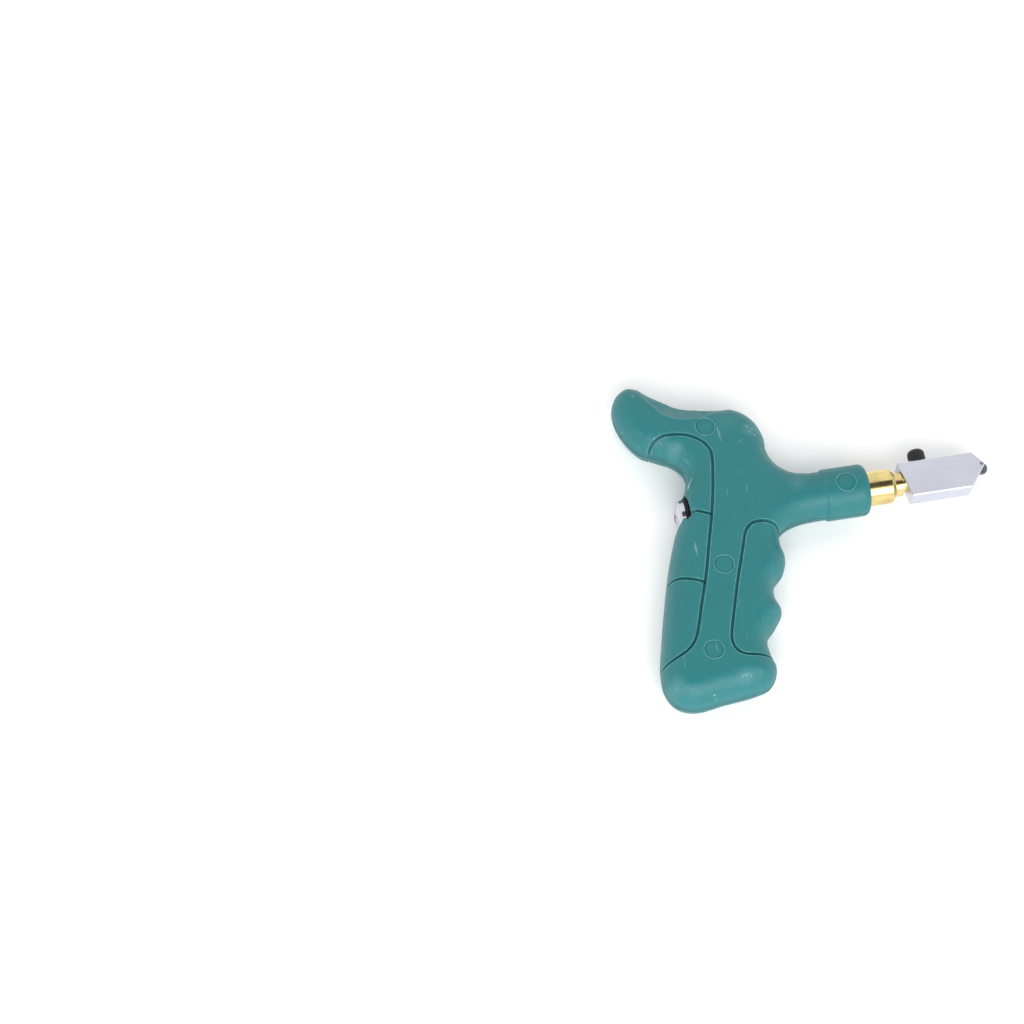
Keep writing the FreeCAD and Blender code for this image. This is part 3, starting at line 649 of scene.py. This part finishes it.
def bump(tree, shader, height, strength, distance, base=None):
    """Bump from a height socket, on top of an earlier bump if one is given."""
    made = node(tree, "ShaderNodeBump", Strength=strength, Distance=distance)
    tree.links.new(height, made.inputs["Height"])
    if base is not None:
        tree.links.new(base, made.inputs["Normal"])
    tree.links.new(made.outputs["Normal"], shader.inputs["Normal"])
    return made.outputs["Normal"]


def streak(tree, start, end, inner, outer):
    """Mask along a line in local millimetres, full up to inner and gone at outer."""
    a, b = local(*start), local(*end)
    a.z = b.z = 0.0
    along = b - a
    place = node(tree, "ShaderNodeTexCoord").outputs["Object"]
    flat = node(tree, "ShaderNodeVectorMath", operation="MULTIPLY")
    tree.links.new(place, flat.inputs[0])
    flat.inputs[1].default_value = (1.0, 1.0, 0.0)
    offset = node(tree, "ShaderNodeVectorMath", operation="SUBTRACT")
    tree.links.new(flat.outputs["Vector"], offset.inputs[0])
    offset.inputs[1].default_value = a
    dot = node(tree, "ShaderNodeVectorMath", operation="DOT_PRODUCT")
    tree.links.new(offset.outputs["Vector"], dot.inputs[0])
    dot.inputs[1].default_value = along / along.length_squared
    part = ramp(tree, dot.outputs["Value"], 0.0, 1.0, 0.0, 1.0)
    foot = node(tree, "ShaderNodeVectorMath", operation="SCALE")
    foot.inputs[0].default_value = along
    tree.links.new(part, foot.inputs["Scale"])
    gap = node(tree, "ShaderNodeVectorMath", operation="DISTANCE")
    tree.links.new(offset.outputs["Vector"], gap.inputs[0])
    tree.links.new(foot.outputs["Vector"], gap.inputs[1])
    return ramp(tree, gap.outputs["Value"], inner * MM, outer * MM, 1.0, 0.0)


# Marks of use on the side that faces up: both ends, width in mm, and strength.
SCUFFS = [((-39.2, 27.7), (-38.4, 26.9), 0.35, 0.7), ((-38.4, 25.3), (-38.0, 24.5), 0.4, 0.55),
          ((-36.9, 24.1), (-36.4, 23.6), 0.45, 0.6), ((-37.4, 26.6), (-37.0, 26.3), 0.4, 0.6),
          ((-43.4, 20.9), (-41.7, 22.3), 0.22, 0.4),
          ((-43.6, 3.9), (-44.2, 3.0), 0.22, 0.4), ((-44.2, 3.0), (-44.0, 1.8), 0.22, 0.4),
          ((-63.9, 8.3), (-63.1, 10.0), 0.45, 0.9), ((-63.0, 9.8), (-62.0, 11.4), 0.3, 0.7),
          ((-63.6, 20.1), (-62.2, 17.6), 0.12, 0.4), ((-62.6, 19.6), (-61.3, 16.6), 0.10, 0.3),
          ((-61.9, 17.0), (-61.5, 15.9), 0.10, 0.3), ((-70.9, -71.0), (-70.5, -71.0), 0.4, 0.5),
          ((-60.6, -66.9), (-59.7, -66.2), 0.2, 0.5), ((-59.7, -66.2), (-59.1, -66.9), 0.2, 0.4),
          ((-59.1, -66.9), (-58.2, -65.9), 0.2, 0.5), ((-57.6, -67.3), (-57.0, -66.6), 0.2, 0.35),
          ((-56.0, -41.0), (-55.4, -38.7), 0.14, 0.25), ((-71.0, 4.0), (-68.6, -1.0), 0.14, 0.2)]
# Dull clouds rubbed into the surface: centre, radius in mm, and strength.
CLOUDS = [((-66.0, 22.9), 3.4, 0.24), ((-83.4, -66.8), 4.2, 0.22), ((-59.4, -66.6), 3.4, 0.16),
          ((-38.4, 26.0), 3.8, 0.20), ((-26.0, 2.6), 4.0, 0.14), ((-46.0, 30.0), 6.0, 0.08)]


def moulded_plastic():
    """Satin teal moulding with mottled grain, painted shade in the channels, painted highlight and wear
    on raised edges, scuffs and dull clouds.
    """
    material, tree, shader = new_material("teal_moulding", (0.012, 0.162, 0.175), 0.0, 0.42)
    shader.inputs["Specular IOR Level"].default_value = 0.42
    cloud = ramp(tree, noise(tree, 60, 4), 0.3, 0.7, 0.0, 1.0)
    tint = mix_color(tree, cloud, (0.0105, 0.154, 0.167), (0.0140, 0.171, 0.184))
    mottle = ramp(tree, noise(tree, 1500, 4, 0.7), 0.38, 0.68, 0.0, 0.80)
    tint = mix_color(tree, mottle, tint, (0.021, 0.195, 0.207))
    # Painted shade: darker down in the channels, in the boss rings' grooves and along the parting seam.
    groove = node(tree, "ShaderNodeAttribute", attribute_name="groove").outputs["Fac"]
    tint = mix_color(tree, math_node(tree, "MULTIPLY", groove, 0.5), tint, (0.004, 0.052, 0.062))
    # Painted highlight, partly wear: lighter teal on the rolled channel edges, the saddle crease and
    # the boss lips, broken up by noise.
    edge = node(tree, "ShaderNodeAttribute", attribute_name="edge").outputs["Fac"]
    edge_highlight_and_wear = ramp(tree, noise(tree, 420, 3), 0.35, 0.6, 0.20, 0.62)
    edge = math_node(tree, "MULTIPLY", edge, edge_highlight_and_wear)
    tint = mix_color(tree, edge, tint, (0.16, 0.42, 0.42))
    specks = ramp(tree, noise(tree, 2300, 2, 0.6), 0.68, 0.74, 0.0, 1.0)
    worn = ramp(tree, noise(tree, 95, 3), 0.50, 0.66, 0.0, 1.0)
    scratch = ramp(tree, noise(tree, 900, 3, 0.5, (1.0, 0.07, 1.0)), 0.67, 0.72, 0.0, 1.0)
    marks = math_node(tree, "MAXIMUM", specks, scratch)
    marks = math_node(tree, "MULTIPLY", marks, worn)
    marks = math_node(tree, "MULTIPLY", marks, 0.35)
    broken = ramp(tree, noise(tree, 1700, 3, 0.6), 0.36, 0.52, 0.35, 1.0)
    placed = None
    for start, end, width, strength in SCUFFS:
        line = streak(tree, start, end, width * 0.25, width * 0.6)
        mark = math_node(tree, "MULTIPLY", line, strength)
        placed = mark if placed is None else math_node(tree, "MAXIMUM", placed, mark)
    placed = math_node(tree, "MULTIPLY", placed, broken)
    rubbed = ramp(tree, noise(tree, 1300, 5, 0.7), 0.30, 0.75, 0.15, 1.0)
    for centre, radius, strength in CLOUDS:
        spot = streak(tree, centre, (centre[0] + 0.8, centre[1] + 0.4), 0.0, radius)
        mark = math_node(tree, "MULTIPLY", spot, strength)
        placed = math_node(tree, "MAXIMUM", placed, math_node(tree, "MULTIPLY", mark, rubbed))
    height = node(tree, "ShaderNodeSeparateXYZ")
    tree.links.new(node(tree, "ShaderNodeTexCoord").outputs["Object"], height.inputs[0])
    upper = ramp(tree, height.outputs["Z"], NOSE.z, NOSE.z + 0.5 * MM, 0.0, 1.0)
    placed = math_node(tree, "MULTIPLY", placed, upper)
    marks = math_node(tree, "MAXIMUM", marks, placed)
    colour = mix_color(tree, marks, tint, (0.42, 0.66, 0.66))
    tree.links.new(colour, shader.inputs["Base Color"])
    satin = ramp(tree, noise(tree, 420, 3), 0.3, 0.7, 0.38, 0.50)
    tree.links.new(math_node(tree, "MAXIMUM", satin, math_node(tree, "MULTIPLY", placed, 0.75)),
                   shader.inputs["Roughness"])
    grain = noise(tree, 3600, 3, 0.65)
    swell = noise(tree, 260, 2)
    first = bump(tree, shader, swell, 0.14, 0.0004)
    second = bump(tree, shader, grain, 0.30, 0.00007, first)
    dent = math_node(tree, "SUBTRACT", 1.0, placed)
    bump(tree, shader, dent, 0.35, 0.00008, second)
    return material


def turned_metal(name, colour, roughness, lines_along, mark):
    """Lathe-turned metal: fine rings along an axis, smudges and small marks."""
    material, tree, shader = new_material(name, colour, 1.0, roughness)
    stretch = {"X": (1.0, 0.02, 0.02), "Y": (0.02, 1.0, 0.02), "Z": (0.02, 0.02, 1.0)}[lines_along]
    rings = noise(tree, 5200, 3, 0.6, stretch)
    smudge = noise(tree, 240, 3)
    darker = tuple(channel * mark for channel in colour)
    tint = mix_color(tree, ramp(tree, smudge, 0.35, 0.7, 0.0, 1.0), colour, darker)
    tree.links.new(tint, shader.inputs["Base Color"])
    tree.links.new(ramp(tree, smudge, 0.3, 0.7, roughness * 0.75, roughness * 1.3),
                   shader.inputs["Roughness"])
    bump(tree, shader, rings, 0.12, 0.00003)
    return material


def satin_plate(name, colour, roughness):
    """Bright satin plating with faint slanting lines, soft smudges and tiny pits."""
    material, tree, shader = new_material(name, colour, 1.0, roughness)
    place = node(tree, "ShaderNodeTexCoord")
    mapping = node(tree, "ShaderNodeMapping")
    mapping.inputs["Rotation"].default_value = (0.0, 0.0, math.radians(52))
    mapping.inputs["Scale"].default_value = (0.07, 1.0, 1.0)
    tree.links.new(place.outputs["Object"], mapping.inputs["Vector"])
    lines = node(tree, "ShaderNodeTexNoise", Scale=1500.0, Detail=4.0, Roughness=0.65)
    tree.links.new(mapping.outputs["Vector"], lines.inputs["Vector"])
    smudge = noise(tree, 110, 2)
    pits = ramp(tree, noise(tree, 3400, 2), 0.74, 0.80, 0.0, 0.3)
    tint = mix_color(tree, ramp(tree, smudge, 0.3, 0.7, 0.0, 1.0), colour,
                     tuple(channel * 0.97 for channel in colour))
    tint = mix_color(tree, ramp(tree, lines.outputs["Fac"], 0.35, 0.65, 0.0, 1.0), tint,
                     tuple(channel * 0.95 for channel in colour))
    tint = mix_color(tree, pits, tint, (0.42, 0.42, 0.46))
    tree.links.new(tint, shader.inputs["Base Color"])
    tree.links.new(ramp(tree, smudge, 0.3, 0.7, roughness * 0.92, roughness * 1.1),
                   shader.inputs["Roughness"])
    bump(tree, shader, lines.outputs["Fac"], 0.10, 0.00003)
    return material


def rubber():
    """Dull black rubber with a fine grain."""
    material, tree, shader = new_material("nitrile_rubber", (0.008, 0.008, 0.009), 0.0, 0.5)
    shader.inputs["Specular IOR Level"].default_value = 0.2
    tree.links.new(ramp(tree, noise(tree, 900, 3), 0.3, 0.7, 0.4, 0.62), shader.inputs["Roughness"])
    tint = mix_color(tree, noise(tree, 300, 3), (0.006, 0.006, 0.007), (0.012, 0.012, 0.013))
    tree.links.new(tint, shader.inputs["Base Color"])
    bump(tree, shader, noise(tree, 4000, 2), 0.15, 0.00004)
    return material


def black_oxide():
    """Oiled black oxide, slightly uneven."""
    material, tree, shader = new_material("black_oxide_steel", (0.010, 0.010, 0.011), 0.0, 0.30)
    shader.inputs["Specular IOR Level"].default_value = 0.4
    edge = ramp(tree, noise(tree, 1500, 3), 0.6, 0.75, 0.0, 0.5)
    tint = mix_color(tree, edge, (0.008, 0.008, 0.009), (0.030, 0.030, 0.032))
    tree.links.new(tint, shader.inputs["Base Color"])
    tree.links.new(ramp(tree, noise(tree, 600, 2), 0.3, 0.7, 0.24, 0.38), shader.inputs["Roughness"])
    bump(tree, shader, noise(tree, 5200, 2), 0.12, 0.00004)
    return material


def felt():
    """Pale felt with a rough fibrous surface."""
    material, tree, shader = new_material("wool_felt", (0.78, 0.75, 0.68), 0.0, 0.95)
    tint = mix_color(tree, noise(tree, 2400, 4), (0.66, 0.63, 0.56), (0.86, 0.83, 0.77))
    tree.links.new(tint, shader.inputs["Base Color"])
    bump(tree, shader, noise(tree, 5200, 4), 0.5, 0.0001)
    return material


# ---------------------------------------------------------------- pieces ----

TEAL = moulded_plastic()
BRASS = turned_metal("turned_brass", (0.80, 0.64, 0.28), 0.19, "X", 0.78)
HEAD_PLATE = satin_plate("satin_plated_steel", (0.66, 0.68, 0.76), 0.32)
ZINC = turned_metal("bright_zinc", (0.60, 0.61, 0.67), 0.20, "X", 0.72)
SCREW_STEEL = turned_metal("zinc_screw_steel", (0.66, 0.66, 0.66), 0.26, "Z", 0.82)
STAINLESS = turned_metal("ground_stainless", (0.27, 0.27, 0.29), 0.30, "Z", 0.7)
CARBIDE = turned_metal("ground_carbide", (0.17, 0.18, 0.18), 0.34, "Z", 0.8)
RUBBER = rubber()
OXIDE = black_oxide()
FELT = felt()


def paint(nodes, material):
    """Gives a material to CAD solids that stay as they are."""
    for name in nodes:
        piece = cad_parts[name]
        if not piece.material_slots:
            piece.data.materials.append(material)
        for slot in piece.material_slots:
            slot.link = "OBJECT"
            slot.material = material


paint(["oil_barrel", "valve_bush", "valve_stem"], BRASS)
paint(["cutter_head"], HEAD_PLATE)
paint(["filler_screw", "filler_washer"], ZINC)
paint(["shell_screw_1", "shell_screw_2", "shell_screw_3", "stem_lock_screw"], SCREW_STEEL)
paint(["wheel_axle", "valve_needle", "valve_spring"], STAINLESS)
paint(["cutting_wheel"], CARBIDE)
paint(["valve_seal", "stem_o_ring", "filler_o_ring"], RUBBER)
paint(["head_screw"], OXIDE)
paint(["felt_wick"], FELT)


# Where the colour changes: painted shade in the grooves, painted highlight and wear on raised edges,
# and painted shade along the line of the seam.
GROOVE_SHADE = (0.6, 1.2)
ROLL_HIGHLIGHT_AND_WEAR = 0.2
CREASE_HIGHLIGHT_AND_WEAR = 0.35
LIP_HIGHLIGHT_AND_WEAR = 0.22
RING_SHADE = 0.35
SEAM_SHADE = 0.75
SEAM_HALF = PARTING_BEVEL + PARTING_GAP + 0.05
FAR_OUT = 9.0
OUTER_SKIN = 1.0


def mark_skin(piece):
    """Stores how far each point is down in a groove, as painted shade, and how near it is to a raised
    edge, as painted highlight and wear.
    """
    mesh = piece.data
    flat = np.empty(len(mesh.vertices) * 3)
    mesh.vertices.foreach_get("co", flat)
    where = (flat.reshape(-1, 3) - np.array(NOSE)) / MM
    plan = where[:, :2]
    gap = np.min([distance_to(line, plan) for line in CHANNELS], axis=0)
    # Painted shade down in the channels.
    groove = 1 - smoothstep(CHANNEL_HALF * GROOVE_SHADE[0], CHANNEL_HALF * GROOVE_SHADE[1], gap)
    # Painted highlight, partly wear, on the rolled channel edges and the saddle crease.
    edge = hump(gap, ROLL_PLACE, ROLL_HIGHLIGHT_AND_WEAR)
    edge = np.maximum(edge, hump(distance_to(SADDLE, plan), 0.0, CREASE_HIGHLIGHT_AND_WEAR))
    # Painted highlight and wear on each boss lip, and painted shade in its ring groove.
    for place in BOSS_PLACES + [NOSE_RING_PLACE]:
        out = np.hypot(*(plan - np.array(place)).T) - BOSS_RING
        out = np.where(where[:, 2] > 0.0, out, FAR_OUT)
        edge = np.maximum(edge, hump(out, LIP_PLACE, LIP_HIGHLIGHT_AND_WEAR))
        groove = np.maximum(groove, RING_SHADE * hump(out, GROOVE_PLACE, GROOVE_HALF))
    outer = np.abs(where[:, 2]) > OUTER_SKIN
    # Painted shade along the parting seam, set over the groove shade there.
    groove = np.where(np.abs(where[:, 2]) < SEAM_HALF, SEAM_SHADE, groove * outer)
    for name, values in (("groove", groove), ("edge", edge * outer)):
        layer = mesh.attributes.new(name, "FLOAT", "POINT")
        layer.data.foreach_set("value", values.astype(np.float32))


# The cuts: gap round the barrel, length of the pocket, start below the handle, and
# how far up the screws' counterbores go.
BORE_GAP = 0.06
POCKET_LONG = 22
BELOW_HANDLE = -14
SHELL_SCREW_DEEP = 5.0
LOCK_SCREW_DEEP = 3.0


def counterbore(x, y, deep):
    """Drum that cuts a screw's counterbore up into the lower half."""
    low, high = local(x, y, BELOW_HANDLE), local(x, y, deep - HALF_THICK)
    return cutter_drum(low, high, COUNTERBORE * MM, "Z")


def lengthwise(start, end, radius):
    """Drum along the barrel's axis, between two local places."""
    return cutter_drum(local(start, 0), local(end, 0), radius * MM, "X")


def handle_halves():
    """Both moulded halves, with the barrel's bore, the pocket and the counterbores cut."""
    for name, side, cad in (("left_moulding", 1, "handle_left_shell"),
                            ("right_moulding", -1, "handle_right_shell")):
        half = half_handle(name, side)
        drums = [lengthwise(BARREL_REAR - 1, 4, BARREL_RADIUS + BORE_GAP),
                 lengthwise(BARREL_REAR - POCKET_LONG, BARREL_REAR, POCKET_RADIUS)]
        if side < 0:
            drums += [counterbore(x, y, SHELL_SCREW_DEEP) for x, y in BOSS_PLACES]
            drums.append(counterbore(*NOSE_RING_PLACE, LOCK_SCREW_DEEP))
        carve(half, drums)
        smooth(half, 38)
        mark_skin(half)
        half.data.materials.clear()
        half.data.materials.append(TEAL)
        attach(half, "handle")
        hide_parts(cad)


# The clamping screw's knob: height, shank radius, ribs, dome and width of its crown.
KNOB_TALL = 5.3
KNOB_SHANK = 1.5
KNOB_RIBS = 22
KNOB_RIB_DEPTH = 0.2
KNOB_RIB_EDGE = 6
KNOB_RIB_STEPS = 8
KNOB_DOME = 1.7
KNOB_CROWN = 0.42


def turned_piece(name, profile, steps, to_row, ribs=0):
    """Solid turned about +Y from (place, radius, share of rib depth) stations."""
    mesh = bmesh.new()
    rings = []
    for y, r, ribbed in profile:
        if r == 0.0:
            rings.append([mesh.verts.new((0.0, y, 0.0))])
            continue
        ring = []
        for i in range(steps):
            angle = 2 * math.pi * i / steps
            dip = KNOB_RIB_DEPTH * ribbed * math.cos(angle * ribs / 2) ** KNOB_RIB_EDGE
            ring.append(mesh.verts.new(((r - dip) * math.cos(angle), y, (r - dip) * math.sin(angle))))
        rings.append(ring)
    for before, after in zip(rings, rings[1:]):
        for i in range(steps):
            j = (i + 1) % steps
            corners = [before[i % len(before)], before[j % len(before)],
                       after[j % len(after)], after[i % len(after)]]
            mesh.faces.new(list(dict.fromkeys(corners)))
    bmesh.ops.transform(mesh, matrix=to_row @ Matrix.Scale(MM, 4), verts=mesh.verts)
    bmesh.ops.recalc_face_normals(mesh, faces=mesh.faces)
    return linked(name, mesh)


def knob_screw():
    """Clamping screw of the head: plain shank and a ribbed knob with a domed top."""
    low = (KNOB_LOW.y - NOSE.y) / MM
    top = (KNOB_HIGH.y - NOSE.y) / MM
    radius = (KNOB_HIGH.x - KNOB_LOW.x) / 2 / MM
    seat = top - KNOB_TALL
    profile = [(low, 0.0, 0), (low, KNOB_SHANK - 0.3, 0), (low + 0.3, KNOB_SHANK, 0),
               (seat, KNOB_SHANK, 0), (seat, radius - 0.5, 0), (seat + 0.12, radius - 0.25, 0),
               (seat + 0.4, radius, 0.3)]
    profile += [(y, radius, 1) for y in np.linspace(seat + 0.7, top - 1.9, 6)]
    for angle in np.radians([15, 30, 45, 60, 75, 90]):
        place = top - KNOB_DOME + KNOB_DOME * math.sin(angle)
        wide = radius * (KNOB_CROWN + (1 - KNOB_CROWN) * math.cos(angle))
        profile.append((place, wide, max(0.0, math.cos(angle) - 0.3)))
    profile.append((top, 0.0, 0))
    centre = (KNOB_LOW + KNOB_HIGH) / 2
    to_row = Matrix.Translation((centre.x, NOSE.y, centre.z))
    knob = turned_piece("ribbed_knob", profile, KNOB_RIBS * KNOB_RIB_STEPS, to_row, KNOB_RIBS)
    smooth(knob, 40)
    knob.data.materials.append(OXIDE)
    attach(knob, "head_screw")
    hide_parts("head_screw")


# The filler plug: back of its head, shank radius, thread and cross recess.
PLUG_SEAT = 3.5
PLUG_SHANK = 3.0
PLUG_STEPS = 96
THREAD_START = 1.6
THREAD_PITCH = 0.8
THREAD_DEPTH = 0.32
THREAD_FLANK = 0.32
THREAD_CREST = 0.1
RECESS_ARM = 2.2
RECESS_HALF = 0.42
RECESS_DEEP = 1.9


def domed_plug():
    """Filler plug with a domed head, a cross recess and a thread."""
    length = (PLUG_HIGH.x - PLUG_LOW.x) / MM
    radius = (PLUG_HIGH.y - PLUG_LOW.y) / 2 / MM
    dome = curve_through([(0.0, 1.2), (0.18, 2.9), (0.75, 4.7), (1.7, 5.75), (2.7, radius - 0.03),
                          (PLUG_SEAT - 0.25, radius)], 0.35)
    profile = [(0.0, 0.0, 0)] + [(float(y), float(r), 0) for y, r in dome]
    profile += [(PLUG_SEAT, radius - 0.25, 0), (PLUG_SEAT, PLUG_SHANK - THREAD_DEPTH, 0)]
    place = PLUG_SEAT + THREAD_START
    while place + THREAD_PITCH < length - 0.7:
        profile += [(place, PLUG_SHANK - THREAD_DEPTH, 0), (place + THREAD_FLANK, PLUG_SHANK, 0),
                    (place + THREAD_FLANK + THREAD_CREST, PLUG_SHANK, 0)]
        place += THREAD_PITCH
    profile += [(place, PLUG_SHANK - THREAD_DEPTH, 0), (length, PLUG_SHANK - 0.8, 0), (length, 0.0, 0)]
    centre = (PLUG_LOW + PLUG_HIGH) / 2
    along_x = Matrix.Rotation(-math.pi / 2, 4, "Z")
    to_row = Matrix.Translation((PLUG_LOW.x, centre.y, centre.z)) @ along_x
    plug = turned_piece("domed_plug", profile, PLUG_STEPS, to_row)
    cutters = []
    for arm, half in ((RECESS_ARM, RECESS_HALF), (RECESS_HALF, RECESS_ARM)):
        mesh = bmesh.new()
        bmesh.ops.create_cube(mesh, size=2.0)
        shape = Matrix.Diagonal((RECESS_DEEP * MM, arm * MM, half * MM, 1.0))
        spot = Matrix.Translation((PLUG_LOW.x, centre.y, centre.z))
        bmesh.ops.transform(mesh, matrix=spot @ shape, verts=mesh.verts)
        cutters.append(linked("arm", mesh))
    carve(plug, cutters)
    smooth(plug, 32)
    plug.data.materials.clear()
    plug.data.materials.append(ZINC)
    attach(plug, "plug")
    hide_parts("filler_screw")


handle_halves()
knob_screw()
domed_plug()

# ----------------------------------------------------------------- stage ----

# The camera's place and lens, then the floor, the surroundings, the softbox and the ceiling.

VIEW_ELEVATION = math.radians(64.0)
VIEW_TURN = math.radians(9.47)
VIEW_DISTANCE = 0.825
VIEW_CENTRE = local(-126.84, 12.01)
LENS = 81.2
SENSOR = 36.0
FLOOR_HALF = 3.0
FLOOR_GLOW = 0.12
SKY_STRENGTH = 1.1
KEY_PLACE = (-0.1, -0.92, 0.77)
KEY_SIZE = (1.2, 0.8)
KEY_POWER = 11.0
CEILING = (Vector((-1.4, -0.58, 1.3)), Vector((1.4, 0.32, 1.3)))


def camera():
    """Camera that looks down at the cutter from its grip side."""
    data = bpy.data.cameras.new("camera")
    data.lens = LENS
    data.sensor_width = SENSOR
    view = bpy.data.objects.new("camera", data)
    bpy.context.scene.collection.objects.link(view)
    level = Vector((math.sin(VIEW_TURN), math.cos(VIEW_TURN), 0.0))
    back = -level * math.cos(VIEW_ELEVATION) + Vector((0, 0, math.sin(VIEW_ELEVATION)))
    view.location = VIEW_CENTRE + back * VIEW_DISTANCE
    view.rotation_euler = (-back).to_track_quat("-Z", "Y").to_euler()
    bpy.context.scene.camera = view


def area_light(name, place, size, power):
    """White rectangular softbox that faces the middle of the frame."""
    data = bpy.data.lights.new(name, "AREA")
    data.shape = "RECTANGLE"
    data.size, data.size_y = size
    data.energy = power
    lamp = bpy.data.objects.new(name, data)
    bpy.context.scene.collection.objects.link(lamp)
    lamp.location = place
    lamp.rotation_euler = (Vector((0, 0, 0)) - Vector(place)).to_track_quat("-Z", "Y").to_euler()


def stage():
    """Pale floor, white surroundings, a softbox, and a dark panel for the metal to mirror."""
    mesh = bmesh.new()
    bmesh.ops.create_grid(mesh, x_segments=1, y_segments=1, size=FLOOR_HALF)
    floor = linked("floor", mesh)
    material, _, shader = new_material("pale_floor", (0.97, 0.97, 0.97), 0.0, 0.9)
    shader.inputs["Specular IOR Level"].default_value = 0.1
    shader.inputs["Emission Color"].default_value = (1.0, 1.0, 1.0, 1.0)
    shader.inputs["Emission Strength"].default_value = FLOOR_GLOW
    floor.data.materials.append(material)
    world = bpy.data.worlds.new("studio")
    world.use_nodes = True
    world.node_tree.nodes["Background"].inputs["Color"].default_value = (1.0, 1.0, 1.0, 1.0)
    world.node_tree.nodes["Background"].inputs["Strength"].default_value = SKY_STRENGTH
    bpy.context.scene.world = world
    area_light("key", KEY_PLACE, KEY_SIZE, KEY_POWER)
    shade = bpy.data.objects.new("ceiling", bpy.data.meshes.new("ceiling"))
    low, high = CEILING
    corners = [low, (high.x, low.y, low.z), high, (low.x, high.y, low.z)]
    shade.data.from_pydata(corners, [], [(0, 1, 2, 3)])
    dark, _, _ = new_material("dark_ceiling", (0.03, 0.03, 0.032), 0.0, 0.9)
    shade.data.materials.append(dark)
    bpy.context.scene.collection.objects.link(shade)
    bpy.context.scene.view_settings.view_transform = "Standard"


camera()
stage()
